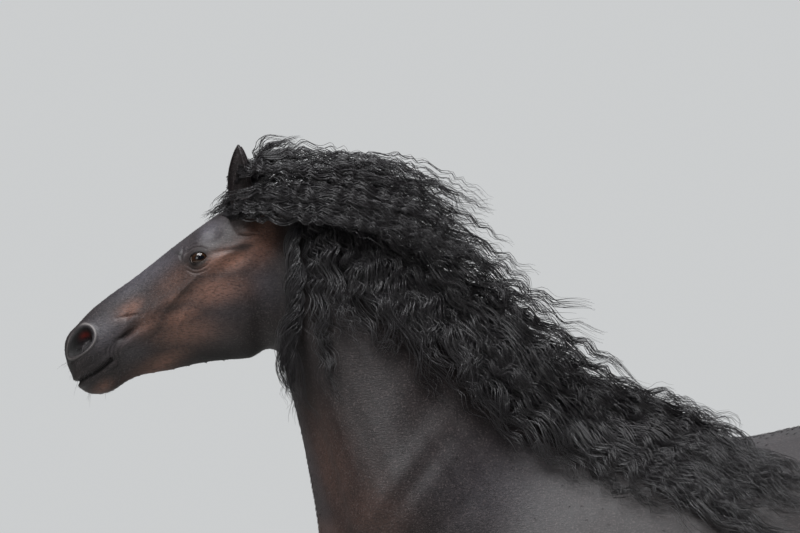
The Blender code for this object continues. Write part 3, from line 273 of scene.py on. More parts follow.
# %% Rows of the head and the legs
# The head's rows: distance from the poll along the nasal line, upper and lower outline across it, half widths
HEAD = [
    (-0.040, -0.030, -0.090, 0.030, 0.045, 0.048, 0.040, 0.025),
    (-0.010, -0.006, -0.130, 0.050, 0.066, 0.070, 0.062, 0.040),
    (0.040, 0.003, -0.175, 0.064, 0.082, 0.084, 0.074, 0.045),
    (0.090, 0.009, -0.232, 0.082, 0.098, 0.092, 0.082, 0.052),
    (0.140, 0.012, -0.286, 0.102, 0.111, 0.096, 0.088, 0.056),
    (0.190, 0.012, -0.319, 0.120, 0.117, 0.098, 0.090, 0.058),
    (0.245, 0.011, -0.322, 0.112, 0.109, 0.097, 0.086, 0.055),
    (0.300, 0.009, -0.296, 0.088, 0.091, 0.091, 0.074, 0.050),
    (0.360, 0.007, -0.265, 0.068, 0.075, 0.079, 0.060, 0.042),
    (0.425, 0.008, -0.231, 0.056, 0.063, 0.064, 0.050, 0.038),
    (0.490, 0.006, -0.196, 0.046, 0.057, 0.057, 0.046, 0.036),
    (0.540, -0.003, -0.184, 0.042, 0.060, 0.058, 0.045, 0.036),
    (0.575, -0.010, -0.178, 0.038, 0.060, 0.058, 0.043, 0.034),
    (0.600, -0.030, -0.170, 0.030, 0.050, 0.053, 0.040, 0.030),
    (0.616, -0.062, -0.158, 0.022, 0.036, 0.042, 0.034, 0.022),
    (0.624, -0.090, -0.146, 0.012, 0.018, 0.022, 0.018, 0.010),
]
# A leg's rows: x, z of its front point, x, z of its rear point, half widths
FORELEG = [
    (-0.430, 1.240, -0.290, 1.260, 0.015, 0.030, 0.034, 0.030, 0.015),
    (-0.462, 1.140, -0.220, 1.170, 0.040, 0.070, 0.078, 0.068, 0.040),
    (-0.476, 1.040, -0.160, 1.070, 0.058, 0.096, 0.104, 0.090, 0.052),
    (-0.462, 0.960, -0.150, 0.975, 0.066, 0.102, 0.108, 0.090, 0.050),
    (-0.442, 0.890, -0.164, 0.895, 0.066, 0.096, 0.098, 0.080, 0.046),
    (-0.421, 0.815, -0.198, 0.812, 0.059, 0.082, 0.083, 0.068, 0.041),
    (-0.402, 0.730, -0.234, 0.725, 0.051, 0.069, 0.070, 0.058, 0.036),
    (-0.384, 0.645, -0.256, 0.645, 0.043, 0.057, 0.057, 0.049, 0.034),
    (-0.369, 0.580, -0.268, 0.580, 0.040, 0.048, 0.047, 0.043, 0.033),
    (-0.378, 0.520, -0.254, 0.528, 0.049, 0.059, 0.056, 0.050, 0.037),
    (-0.373, 0.465, -0.252, 0.478, 0.049, 0.059, 0.056, 0.049, 0.035),
    (-0.359, 0.410, -0.264, 0.415, 0.040, 0.047, 0.044, 0.039, 0.030),
    (-0.351, 0.345, -0.267, 0.345, 0.035, 0.041, 0.038, 0.034, 0.028),
    (-0.349, 0.280, -0.264, 0.275, 0.035, 0.041, 0.039, 0.037, 0.030),
    (-0.353, 0.228, -0.256, 0.215, 0.040, 0.048, 0.047, 0.044, 0.036),
    (-0.366, 0.185, -0.270, 0.165, 0.038, 0.044, 0.044, 0.042, 0.036),
    (-0.388, 0.145, -0.299, 0.112, 0.038, 0.045, 0.045, 0.043, 0.037),
    (-0.405, 0.118, -0.314, 0.080, 0.045, 0.054, 0.053, 0.049, 0.039),
    (-0.414, 0.098, -0.318, 0.058, 0.047, 0.057, 0.055, 0.051, 0.039),
]
HINDLEG = [
    (0.740, 1.400, 0.960, 1.420, 0.015, 0.035, 0.040, 0.035, 0.015),
    (0.660, 1.300, 1.035, 1.330, 0.045, 0.090, 0.096, 0.080, 0.040),
    (0.612, 1.190, 1.072, 1.220, 0.070, 0.118, 0.124, 0.106, 0.060),
    (0.592, 1.090, 1.082, 1.120, 0.080, 0.122, 0.130, 0.112, 0.068),
    (0.600, 0.995, 1.060, 1.030, 0.078, 0.114, 0.119, 0.102, 0.062),
    (0.630, 0.910, 1.026, 0.945, 0.068, 0.099, 0.101, 0.085, 0.052),
    (0.672, 0.835, 0.998, 0.865, 0.058, 0.083, 0.084, 0.068, 0.042),
    (0.722, 0.765, 0.984, 0.790, 0.048, 0.068, 0.067, 0.052, 0.032),
    (0.776, 0.705, 0.988, 0.730, 0.041, 0.056, 0.054, 0.039, 0.023),
    (0.826, 0.660, 1.006, 0.680, 0.039, 0.050, 0.047, 0.034, 0.021),
    (0.864, 0.615, 1.032, 0.632, 0.043, 0.053, 0.049, 0.035, 0.025),
    (0.882, 0.565, 1.026, 0.575, 0.047, 0.058, 0.052, 0.038, 0.028),
    (0.893, 0.512, 1.006, 0.512, 0.043, 0.052, 0.046, 0.038, 0.028),
    (0.900, 0.455, 0.995, 0.450, 0.038, 0.045, 0.042, 0.038, 0.029),
    (0.904, 0.375, 0.988, 0.370, 0.035, 0.041, 0.039, 0.036, 0.029),
    (0.906, 0.290, 0.990, 0.285, 0.035, 0.041, 0.039, 0.037, 0.030),
    (0.902, 0.235, 1.001, 0.222, 0.040, 0.048, 0.047, 0.044, 0.036),
    (0.888, 0.190, 0.986, 0.170, 0.038, 0.044, 0.044, 0.042, 0.035),
    (0.864, 0.148, 0.956, 0.116, 0.038, 0.044, 0.044, 0.042, 0.036),
    (0.847, 0.120, 0.938, 0.082, 0.044, 0.052, 0.051, 0.047, 0.038),
    (0.837, 0.098, 0.933, 0.058, 0.046, 0.054, 0.053, 0.049, 0.038),
]
print(len(HEAD), "sections of the head,", len(FORELEG), "and", len(HINDLEG), "of the legs")

# %% [markdown]
# ## Helpers for lofts and meshes
# A curve through the rows gives a ring for every few centimetres, and a tube through the rings is one closed loft.
# The other helpers read and write a mesh's points as an array, which is the quick way to shape them all at once.

# %% Lofts
# Head coordinates: u from the poll along the nasal line, v across it towards the forehead
ALONG = np.array([-math.cos(NOSE_SLOPE), -math.sin(NOSE_SLOPE)])
ACROSS = np.array([-math.sin(NOSE_SLOPE), math.cos(NOSE_SLOPE)])


def head_point(u, v):
    """x, z of a point of the head's side view."""
    return np.array(POLL) + u * ALONG + v * ACROSS


def head_coordinates(points):
    """u, v and the distance from the middle plane, of points in space."""
    flat = points[:, [0, 2]] - np.array(POLL)
    return np.column_stack([flat @ ALONG, flat @ ACROSS, np.abs(points[:, 1])])


def through(rows, steps):
    """A smooth curve through the rows, by Catmull and Rom's rule, with steps points to a span."""
    rows = np.array(rows, float)
    ends = np.vstack([2 * rows[0] - rows[1], rows, 2 * rows[-1] - rows[-2]])
    out = []
    for i in range(len(rows) - 1):
        p0, p1, p2, p3 = ends[i:i + 4]
        for t in np.arange(steps) / steps:
            out.append(0.5 * (2 * p1 + (p2 - p0) * t + (2 * p0 - 5 * p1 + 4 * p2 - p3) * t ** 2
                              + (3 * p1 - p0 - 3 * p2 + p3) * t ** 3))
    return np.array(out + [rows[-1]])


def section(row, side):
    """The closed ring of one section. Its depth runs from the row's first point to its second."""
    turn = np.arange(RING) * math.tau / RING
    level = (1 - np.cos(turn)) / 2
    half = np.polyval(np.polyfit(LEVELS, row[4:9], 4), level)
    x = row[0] + (row[2] - row[0]) * level
    z = row[1] + (row[3] - row[1]) * level
    return np.column_stack([x, side + half * np.sin(turn), z])


def closed_tube(rings):
    """Points and faces of a tube through rings of equal size, with a fan at each end."""
    size = len(rings[0])
    points = np.vstack([*rings, rings[0].mean(0), rings[-1].mean(0)])
    first, last = len(points) - 2, len(points) - 1
    faces = []
    for r in range(len(rings) - 1):
        for i in range(size):
            j = (i + 1) % size
            faces.append((r * size + i, r * size + j, (r + 1) * size + j, (r + 1) * size + i))
    end = (len(rings) - 1) * size
    faces += [(first, (i + 1) % size, i) for i in range(size)]
    faces += [(last, end + i, end + (i + 1) % size) for i in range(size)]
    return points, faces


print("a ring has", RING, "points")

# %% Meshes
def outward(mesh):
    """Turns every closed shell's faces outwards."""
    work = bmesh.new()
    work.from_mesh(mesh)
    bmesh.ops.recalc_face_normals(work, faces=work.faces)
    work.to_mesh(mesh)
    work.free()


def new_object(name, points, faces):
    mesh = bpy.data.meshes.new(name)
    mesh.from_pydata([tuple(p) for p in points], [], faces)
    outward(mesh)
    thing = bpy.data.objects.new(name, mesh)
    bpy.context.scene.collection.objects.link(thing)
    return thing


def apply_modifiers(thing):
    """Keeps the evaluated mesh and drops the modifiers."""
    graph = bpy.context.evaluated_depsgraph_get()
    mesh = bpy.data.meshes.new_from_object(thing.evaluated_get(graph))
    thing.modifiers.clear()
    thing.data = mesh
    return thing


def coordinates(mesh):
    flat = np.empty(len(mesh.vertices) * 3)
    mesh.vertices.foreach_get("co", flat)
    return flat.reshape(-1, 3)


def normals(mesh):
    flat = np.empty(len(mesh.vertices) * 3)
    mesh.vertices.foreach_get("normal", flat)
    return flat.reshape(-1, 3)


def put_coordinates(mesh, points):
    mesh.vertices.foreach_set("co", points.ravel())
    mesh.update()


def smooth(t):
    """0 below 0, 1 above 1, with a soft start and end between."""
    t = np.clip(t, 0, 1)
    return t * t * (3 - 2 * t)


def turned(a, b, angle):
    """Coordinates a, b along axes turned by angle."""
    return a * math.cos(angle) + b * math.sin(angle), b * math.cos(angle) - a * math.sin(angle)


print("mesh helpers are ready")

# %% [markdown]
# ## Flesh
# Lofts that overlap are remade as one surface on an even grid by a voxel remesh. Where a limb runs into the trunk the
# surface would have a crease, so a coarse copy is smoothed there for long, until its hollows have filled, and is then
# fused with the sharp one. Sculpting by hand would be freer, but this way every measure stays in the rows.

# %% All lofts of the body
def leg_rows(rows, shift, top):
    """A leg's rows, leaning so that its hoof is set forward or back by shift."""
    rows = through(rows, SPAN)
    for column in (0, 2):
        drop = np.clip((top - rows[:, column + 1]) / (top - 0.1), 0, 1)
        rows[:, column] += shift * drop
    return rows


def flesh_lofts():
    """The overlapping closed lofts of the whole body, hoofs and ears left out."""
    lofts = []
    for rows in (TORSO, NECK):
        lofts.append([section(row, 0) for row in through(rows, SPAN)])
    head = [(*head_point(u, top), *head_point(u, low), *widths) for u, top, low, *widths in HEAD]
    lofts.append([section(row, 0) for row in through(head, SPAN)])
    for name, (shift, side) in LEGS.items():
        fore = name.startswith("fore")
        rows = leg_rows(FORELEG if fore else HINDLEG, shift, FORE_TOP if fore else HIND_TOP)
        lofts.append([section(row, side) for row in rows])
    return [closed_tube(rings) for rings in lofts]


print(len(flesh_lofts()), "lofts")

# %% Fuse and relax
def fused(name, lofts, voxel):
    """One closed surface over all the lofts, remade on an even grid."""
    points, faces = [], []
    count = 0
    for ring_points, ring_faces in lofts:
        points.append(ring_points)
        faces += [tuple(i + count for i in face) for face in ring_faces]
        count += len(ring_points)
    thing = new_object(name, np.vstack(points), faces)
    remesh = thing.modifiers.new("even", "REMESH")
    remesh.mode, remesh.voxel_size = "VOXEL", voxel
    return apply_modifiers(thing)


def relax(mesh, rounds, weight=1.0, back=0.92):
    """Moves points towards the mean of their neighbours, and every second round back by a share."""
    edges = np.empty(len(mesh.edges) * 2, int)
    mesh.edges.foreach_get("vertices", edges)
    a, b = edges.reshape(-1, 2).T
    points = coordinates(mesh)
    count = np.bincount(a, minlength=len(points)) + np.bincount(b, minlength=len(points))
    weight = np.broadcast_to(weight, len(points))
    for turn in range(rounds):
        total = np.zeros_like(points)
        for axis in range(3):
            total[:, axis] = (np.bincount(a, points[b, axis], len(points))
                              + np.bincount(b, points[a, axis], len(points)))
        step = 0.5 if turn % 2 == 0 or back == 0 else -0.5 * back
        points += (step * weight)[:, None] * (total / count[:, None] - points)
    put_coordinates(mesh, points)


def near_line(points, line, reach):
    """1 on a side-view line of x, z points, falling to 0 at reach from it."""
    flat = points[:, [0, 2]]
    nearest = np.full(len(flat), 9.0)
    for start, end in zip(np.array(line[:-1]), np.array(line[1:])):
        span = end - start
        t = np.clip((flat - start) @ span / (span @ span), 0, 1)
        nearest = np.minimum(nearest, np.linalg.norm(flat - start - t[:, None] * span, axis=1))
    return smooth(1 - nearest / reach)
# Where one limb's flesh runs into the next, in side view, and how far the join is rounded
JOINS = [
    ([(0.12, 1.58), (0.00, 1.34), (-0.22, 1.14), (-0.44, 1.10), (-0.57, 1.24)], 0.20),
    ([(-0.52, 0.98), (-0.46, 1.18), (-0.24, 1.20), (-0.15, 1.00)], 0.13),
    ([(0.60, 1.00), (0.60, 1.20), (0.74, 1.38), (0.94, 1.40), (1.06, 1.26), (1.05, 1.16)], 0.15),
    ([(-0.66, 2.10), (-0.655, 1.90), (-0.68, 1.73)], 0.06),
]


def rounded_flesh():
    """The lofts fused, with their hollow joins filled by a coarse copy that was smoothed there."""
    lofts = flesh_lofts()
    coarse = fused("coarse", lofts, 2 * VOXEL)
    points = coordinates(coarse.data)
    weight = np.zeros(len(points))
    for line, reach in JOINS:
        weight = np.maximum(weight, near_line(points, line, reach * 1.4))
    relax(coarse.data, 480, weight, back=0)
    lofts.append((coordinates(coarse.data), [tuple(p.vertices) for p in coarse.data.polygons]))
    bpy.data.objects.remove(coarse)
    return fused("flesh", lofts, VOXEL)

# %% [markdown]
# ## Muscles, bones and the face
# Each form is a soft bump or hollow pushed along the surface's own normals: the shoulder, the stifle, the cheek, the
# arch over the eye. Nostrils, lips and the line of the mouth are worked out in head coordinates, with u along the nose
# from the poll and v across it, so that they stay in place if the head is turned.

# %% Broad forms
# Muscles and hollows: x, y, z, long and short reach, lean of the long way in degrees, height
BODY_FORMS = [
    (-0.22, 0.25, 1.34, 0.20, 0.065, 46, 0.012), (-0.37, 0.17, 1.40, 0.17, 0.028, 52, -0.010),
    (-0.20, 0.27, 1.07, 0.12, 0.085, 30, 0.016), (-0.06, 0.29, 1.02, 0.15, 0.030, 82, -0.011),
    (-0.19, 0.24, 0.93, 0.035, 0.030, 0, 0.008), (-0.54, 0.10, 1.12, 0.09, 0.075, 70, 0.014),
    (-0.57, 0.00, 1.12, 0.16, 0.020, 80, -0.014), (0.55, 0.28, 1.22, 0.10, 0.060, 60, -0.016),
    (0.66, 0.27, 1.46, 0.050, 0.045, 0, 0.014), (0.82, 0.24, 1.40, 0.14, 0.090, -15, 0.010),
    (0.99, 0.19, 1.20, 0.17, 0.018, 82, -0.008), (0.63, 0.20, 1.04, 0.055, 0.050, 0, 0.010),
    (0.86, 0.20, 0.98, 0.13, 0.016, -40, -0.006), (-0.50, 0.12, 1.55, 0.22, 0.026, -68, 0.006),
    (-0.55, 0.10, 1.50, 0.22, 0.016, -72, -0.006), (-0.30, 0.12, 1.62, 0.20, 0.050, 55, -0.008),
]
# The same on the head: u, distance from the middle, v, long and short reach, lean, height
HEAD_FORMS = [
    (0.205, 0.090, -0.036, 0.036, 0.030, 0, 0.008),    # orbit
    (0.150, 0.075, -0.026, 0.022, 0.016, 10, -0.006),  # hollow above the eye
    (0.150, 0.100, -0.082, 0.060, 0.013, 3, 0.005),    # arch of the cheekbone
    (0.145, 0.100, -0.110, 0.050, 0.015, 3, -0.003),
    (0.310, 0.085, -0.090, 0.070, 0.012, 0, 0.005),    # facial crest
    (0.320, 0.085, -0.118, 0.060, 0.018, -4, -0.005),
    (0.195, 0.095, -0.215, 0.085, 0.070, -50, 0.009),  # cheek muscle
    (0.385, 0.060, -0.160, 0.060, 0.035, -35, -0.007),
    (0.400, 0.050, -0.045, 0.070, 0.018, 0, -0.004),   # beside the nasal bones
    (0.452, 0.060, -0.096, 0.036, 0.008, -8, -0.007),  # fold behind the nostril
    (0.426, 0.060, -0.058, 0.016, 0.006, -35, -0.004),
    (0.470, 0.060, -0.115, 0.030, 0.013, -5, 0.005),
    (0.565, 0.020, -0.178, 0.030, 0.018, 10, 0.007),   # chin
    (0.330, 0.000, -0.290, 0.110, 0.022, 36, -0.010),  # between the jaw bones
]


def form_height(where, forms, depth):
    """Sum of the forms' heights at points given as along, sideways, up."""
    height = np.zeros(len(where))
    for x, y, z, long, short, lean, rise in forms:
        a, b = turned(where[:, 0] - x, where[:, 2] - z, math.radians(lean))
        height += rise * np.exp(-(a / long) ** 2 - (b / short) ** 2 - ((where[:, 1] - y) / depth) ** 2)
    return height


print(len(BODY_FORMS), "forms on the body,", len(HEAD_FORMS), "on the head")

# %% Features of the face
EYE = (0.2102, -0.0485)         # u, v of the middle of the open lids
EYE_IN = 0.0800                 # distance of the eyeball's middle from the middle plane
EYE_HALF, LID_ABOVE, LID_BELOW = 0.0222, 0.0145, 0.0118
NOSTRIL = (0.558, -0.044)       # u, v
NOSTRIL_HALF = (0.040, 0.024)
NOSTRIL_LEAN = math.radians(-19)
MOUTH = [(0.515, -0.1245), (0.560, -0.1265), (0.600, -0.1215), (0.630, -0.1170)]  # u, v from corner to front


def nostril_shape(u, v):
    a, b = turned(u - NOSTRIL[0], v - NOSTRIL[1], NOSTRIL_LEAN)
    wide = NOSTRIL_HALF[1] * (1 - 0.25 * a / NOSTRIL_HALF[0])
    return np.sqrt((a / NOSTRIL_HALF[0]) ** 2 + (b / wide) ** 2)


def face_height(head):
    """Lids, nostrils, lips and the line of the mouth, as heights over the head's surface."""
    u, v, w = head.T
    side = smooth(w / 0.02 - 1)
    ring = np.hypot(u - EYE[0], v - EYE[1])
    height = -0.0006 * side * np.exp(-((ring - 0.030) / 0.006) ** 2)
    hole = nostril_shape(u, v)
    height += side * -0.034 * smooth((1.02 - hole) / 0.50)
    height += side * 0.0045 * np.exp(-((hole - 1.16) / 0.14) ** 2)
    line = np.array(MOUTH)
    gap = v - np.interp(u, line[:, 0], line[:, 1])
    lips = smooth((u - line[0, 0] + 0.006) / 0.012)
    height -= lips * 0.007 * np.exp(-(gap / 0.0035) ** 2)
    height += lips * 0.003 * np.exp(-((np.abs(gap) - 0.012) / 0.007) ** 2)
    return height


print("eye at", [round(float(c), 3) for c in head_point(*EYE)])

# %% [markdown]
# ## Fine folds and veins
# A thin-skinned horse shows its folds: the ridge of the cheekbone, the deep groove behind the nostril, wrinkles over
# the corner of the mouth and under the eye, and veins on the face and belly. Each is a line with a width and a height.
# Lines need a finer grid than the body's, so the head's grid is halved twice.

# %% Lines of the face
# Points u, v of a line on the head, half its width, its height
FACE_LINES = [
    ([(0.2147, -0.0800), (0.2650, -0.0880), (0.3150, -0.0980), (0.3600, -0.1070)], 0.0060, 0.0035),
    ([(0.2250, -0.0960), (0.2800, -0.1040), (0.3400, -0.1180)], 0.0090, -0.0012),
    ([(0.4180, -0.0980), (0.4540, -0.0968), (0.4880, -0.0930)], 0.0045, -0.0060),
    ([(0.4060, -0.0720), (0.4180, -0.0650), (0.4343, -0.0574), (0.4540, -0.0480)], 0.0035, -0.0035),
    ([(0.3600, -0.1120), (0.4000, -0.1200), (0.4350, -0.1170), (0.4700, -0.1120)], 0.0110, 0.0040),
    ([(0.3800, -0.1430), (0.4200, -0.1380), (0.4550, -0.1320)], 0.0060, -0.0030),
    ([(0.2230, -0.0060), (0.2310, -0.0130), (0.2410, -0.0205), (0.2430, -0.0300)], 0.0030, -0.0035),
    ([(0.2400, -0.0500), (0.2330, -0.0660), (0.2180, -0.0740), (0.2020, -0.0765), (0.1890, -0.0720)], 0.0020, -0.0016),
    ([(0.2480, -0.0560), (0.2370, -0.0740), (0.2190, -0.0830), (0.2000, -0.0850)], 0.0022, -0.0014),
    ([(0.2360, -0.0300), (0.2240, -0.0240), (0.2050, -0.0240), (0.1880, -0.0330), (0.1800, -0.0440)], 0.0022, -0.0022),
    ([(0.2420, -0.0260), (0.2280, -0.0170), (0.2030, -0.0160), (0.1830, -0.0260)], 0.0024, -0.0014),
    ([(0.5010, -0.0900), (0.5130, -0.0960), (0.5230, -0.1070), (0.5260, -0.1190)], 0.0021, -0.0018),
    ([(0.4930, -0.0930), (0.5050, -0.1010), (0.5150, -0.1110), (0.5190, -0.1250)], 0.0021, -0.0018),
    ([(0.4860, -0.0970), (0.4980, -0.1060), (0.5060, -0.1160), (0.5100, -0.1290)], 0.0021, -0.0016),
    ([(0.4790, -0.1020), (0.4900, -0.1110), (0.4980, -0.1220), (0.5030, -0.1350)], 0.0022, -0.0013),
    ([(0.5330, -0.1380), (0.5560, -0.1420), (0.5820, -0.1400)], 0.0026, -0.0013),
    ([(0.3050, -0.1350), (0.3450, -0.1560), (0.3700, -0.1900), (0.3700, -0.2200)], 0.0040, 0.0016),
    ([(0.3300, -0.1480), (0.3750, -0.1620), (0.4150, -0.1780)], 0.0035, 0.0013),
    ([(0.3500, -0.0700), (0.3900, -0.0850), (0.4150, -0.0900)], 0.0035, 0.0014),
    ([(0.1750, -0.0620), (0.1450, -0.0760), (0.1100, -0.0920)], 0.0060, -0.0030),
]
# The same on the body, in x, z
BODY_LINES = [
    ([(-0.330, 1.570), (-0.265, 1.500), (-0.225, 1.430), (-0.205, 1.360)], 0.013, -0.0022),
    ([(-0.360, 1.510), (-0.300, 1.440), (-0.265, 1.370)], 0.011, -0.0016),
    ([(-0.270, 1.610), (-0.200, 1.520), (-0.170, 1.440)], 0.012, -0.0018),
    ([(-0.560, 1.480), (-0.520, 1.380), (-0.490, 1.280), (-0.470, 1.190)], 0.014, -0.0030),
    ([(-0.150, 0.930), (0.050, 0.900), (0.250, 0.905), (0.400, 0.930)], 0.007, 0.004),
    ([(-0.300, 0.900), (-0.290, 0.800), (-0.285, 0.700)], 0.006, 0.003),
    ([(0.700, 1.000), (0.760, 0.900), (0.830, 0.800)], 0.007, 0.003),
    ([(0.060, 1.330), (0.070, 1.150), (0.110, 1.000)], 0.016, -0.002),
    ([(0.150, 1.330), (0.165, 1.150), (0.200, 1.000)], 0.016, -0.002),
    ([(0.240, 1.330), (0.260, 1.150), (0.300, 1.010)], 0.016, -0.002),
]


def line_height(flat, lines):
    """Sum of the lines' heights at points of a side view."""
    height = np.zeros(len(flat))
    for line, wide, rise in lines:
        course = through(line, 5)
        near = (np.abs(flat - course.mean(0)).max(1) < np.ptp(course, axis=0).max() + 5 * wide)
        spot = flat[near]
        best = np.full(len(spot), 9.0)
        at = np.zeros(len(spot))
        for i, (start, end) in enumerate(zip(course[:-1], course[1:])):
            span = end - start
            t = np.clip((spot - start) @ span / (span @ span), 0, 1)
            far = np.linalg.norm(spot - start - t[:, None] * span, axis=1)
            at = np.where(far < best, (i + t) / (len(course) - 1), at)
            best = np.minimum(best, far)
        fade = np.sin(np.pi * np.clip(at, 0.08, 0.92)) ** 0.7
        height[near] += rise * fade * np.exp(-(best / wide) ** 2)
    return height


print(len(FACE_LINES), "lines on the face,", len(BODY_LINES), "on the body")

# %% Shape the skin
def refine_head(mesh):
    """Halves the grid on the head."""
    work = bmesh.new()
    work.from_mesh(mesh)
    edges = [e for e in work.edges if all(v.co.x < -0.66 and v.co.z > 1.66 for v in e.verts)]
    bmesh.ops.subdivide_edges(work, edges=edges, cuts=1, use_grid_fill=True)
    bmesh.ops.triangulate(work, faces=[f for f in work.faces if len(f.verts) != 4])
    work.to_mesh(mesh)
    work.free()


def shape_skin(mesh):
    """Rounds the joins, then raises and sinks the forms, from the broad to the fine."""
    relax(mesh, 40)
    points = coordinates(mesh)
    weight = np.zeros(len(points))
    for line, reach in JOINS:
        weight = np.maximum(weight, near_line(points, line, reach))
    relax(mesh, 60, weight, back=0)
    refine_head(mesh)
    points = coordinates(mesh)
    body = np.column_stack([points[:, 0], np.abs(points[:, 1]), points[:, 2]])
    outer = smooth((body[:, 1] - 0.03) / 0.05)
    height = form_height(body, BODY_FORMS, 0.11) + line_height(points[:, [0, 2]], BODY_LINES) * outer
    put_coordinates(mesh, points + height[:, None] * normals(mesh))
    relax(mesh, 2)
    refine_head(mesh)
    points = coordinates(mesh)
    head = head_coordinates(points)
    height = form_height(head[:, [0, 2, 1]], HEAD_FORMS, 0.045) + face_height(head)
    height += line_height(head[:, :2], FACE_LINES) * smooth(head[:, 2] / 0.02 - 0.6)
    height *= smooth((-0.65 - points[:, 0]) / 0.03)
    put_coordinates(mesh, points + height[:, None] * normals(mesh))
    relax(mesh, 3, smooth((-0.64 - points[:, 0]) / 0.03), back=0.6)


COAT = 0.0015                   # depth of the short coat, by which the skin lies inside the solids
skin = rounded_flesh()
skin.name = "skin"
shape_skin(skin.data)
put_coordinates(skin.data, coordinates(skin.data) - COAT * normals(skin.data))
print("sculpted skin:", len(skin.data.polygons), "faces")

# %% [markdown]
# ## Fewer triangles where the form is calm
# The grid is far finer than a shape like the flank needs. A decimate modifier works zone by zone: the head keeps most
# of its triangles for lids, lips and folds, and the trunk keeps just enough for a smooth outline.

# %% Thin out zone by zone
HEAD_FACES, LEG_FACES, NECK_FACES, TRUNK_FACES = 96000, 30000, 12000, 36000
def on_head(points):
    return (points[:, 0] < -0.64) & (points[:, 2] > 1.66)


def on_legs(points):
    fore_or_hind = (points[:, 0] < -0.15) | (points[:, 0] > 0.56)
    return (points[:, 2] < 0.92) & (np.abs(points[:, 1]) > 0.03) & fore_or_hind


def on_neck(points):
    return (points[:, 0] >= -0.64) & (points[:, 0] < 0.0) & (points[:, 2] > 1.45)


def on_trunk(points):
    return ~(on_head(points) | on_legs(points) | on_neck(points))


def thinned(thing, zones):
    """Removes triangles zone by zone. A zone is a test of points and how many triangles it keeps."""
    for weigh, keep in zones:
        mesh = thing.data
        chosen = weigh(coordinates(mesh))
        corners = np.empty(len(mesh.loops), int)
        mesh.loops.foreach_get("vertex_index", corners)
        inside = int(chosen[corners].sum()) // 3
        group = thing.vertex_groups.get("zone") or thing.vertex_groups.new(name="zone")
        group.add(np.flatnonzero(chosen).tolist(), 1.0, "REPLACE")
        group.remove(np.flatnonzero(~chosen).tolist())
        collapse = thing.modifiers.new("thin", "DECIMATE")
        collapse.ratio = (len(mesh.polygons) - inside + keep) / len(mesh.polygons)
        collapse.vertex_group = "zone"
        apply_modifiers(thing)


def triangulated(thing):
    work = bmesh.new()
    work.from_mesh(thing.data)
    bmesh.ops.triangulate(work, faces=work.faces)
    work.to_mesh(thing.data)
    work.free()


triangulated(skin)
thinned(skin, [(on_head, HEAD_FACES), (on_legs, LEG_FACES), (on_neck, NECK_FACES), (on_trunk, TRUNK_FACES)])
print("thinned skin:", len(skin.data.polygons), "triangles")

# %% [markdown]
# ## Lids and ears
# A lid is the skin drawn over the eyeball. A ball a little larger than the eye is joined to the head, an almond bar
# cuts the opening, and the eye's own ball cuts its seat. The ear is a cupped leaf, joined to the head, and the seam at
# its root is smoothed away. Booleans make both exact, and a few rounds of smoothing take off their hard edges.

# %% Booleans and balls
def boolean(thing, other, operation, solver="EXACT"):
    """Cuts or joins with one object, which is then removed."""
    change = thing.modifiers.new(operation, "BOOLEAN")
    change.operation, change.solver, change.object = operation, solver, other
    apply_modifiers(thing)
    bpy.data.objects.remove(other)


def largest_shell(thing):
    """Keeps only the closed surface that holds most volume."""
    work = bmesh.new()
    work.from_mesh(thing.data)
    bmesh.ops.triangulate(work, faces=work.faces)
    left, shells = set(work.faces), []
    while left:
        stack = [left.pop()]
        shell = list(stack)
        while stack:
            for edge in stack.pop().edges:
                for face in edge.link_faces:
                    if face in left:
                        left.remove(face)
                        stack.append(face)
                        shell.append(face)
        shells.append(shell)
    volumes = []
    for shell in shells:
        corners = [[v.co for v in face.verts] for face in shell]
        volumes.append(sum(a.dot(b.cross(c)) for a, b, c in corners) / 6)
    keep = shells[int(np.argmax(volumes))]
    drop = [face for shell in shells if shell is not keep for face in shell]
    bmesh.ops.delete(work, geom=drop, context="FACES")
    work.to_mesh(thing.data)
    work.free()


def ball(name, middle, radius, pole, wide=16, high=9):
    """A sphere whose poles lie along the given direction."""
    work = bmesh.new()
    bmesh.ops.create_uvsphere(work, u_segments=wide, v_segments=high, radius=radius)
    turn = Vector(pole).to_track_quat("Z", "Y").to_matrix()
    for v in work.verts:
        v.co = turn @ v.co + Vector(middle)
    mesh = bpy.data.meshes.new(name)
    work.to_mesh(mesh)
    work.free()
    thing = bpy.data.objects.new(name, mesh)
    bpy.context.scene.collection.objects.link(thing)
    return thing


def eye_frame(side):
    """The eyeball's middle, and the directions out of the head, along the lids and up across them."""
    x, z = head_point(*EYE)
    out = Vector((-0.30, side * 0.93, 0.12)).normalized()
    middle = Vector((x - out.x * EYE_RADIUS, side * EYE_IN, z - out.z * EYE_RADIUS))
    ahead = Vector((-1, 0, -0.12))
    ahead = (ahead - ahead.dot(out) * out).normalized()
    up = out.cross(ahead) * side
    if up.z < 0:
        up = -up
    return middle, out, ahead, up


def almond(name, side, count):
    """A bar with the outline of the open lids, from the eyeball's middle outwards."""
    middle, out, ahead, up = eye_frame(side)
    ring = []
    for turn in np.arange(count) * math.tau / count:
        a, b = math.cos(turn), math.sin(turn)
        wide = EYE_HALF * math.copysign(abs(a) ** 0.9, a)
        high = (LID_ABOVE if b > 0 else LID_BELOW) * math.copysign(abs(b) ** 1.25, b)
        ring.append(middle + ahead * wide + up * (high - 0.0012 * math.cos(turn)))
    near = np.array([p + out * 0.002 for p in ring])
    far = np.array([p + out * 0.045 for p in ring])
    return new_object(name, *closed_tube([near, far]))


print("boolean helpers are ready")

# %% Lids
def soften(mesh, where, rounds):
    """Relaxes the mesh only where the weight function says."""
    relax(mesh, rounds, where(coordinates(mesh)), back=0.3)


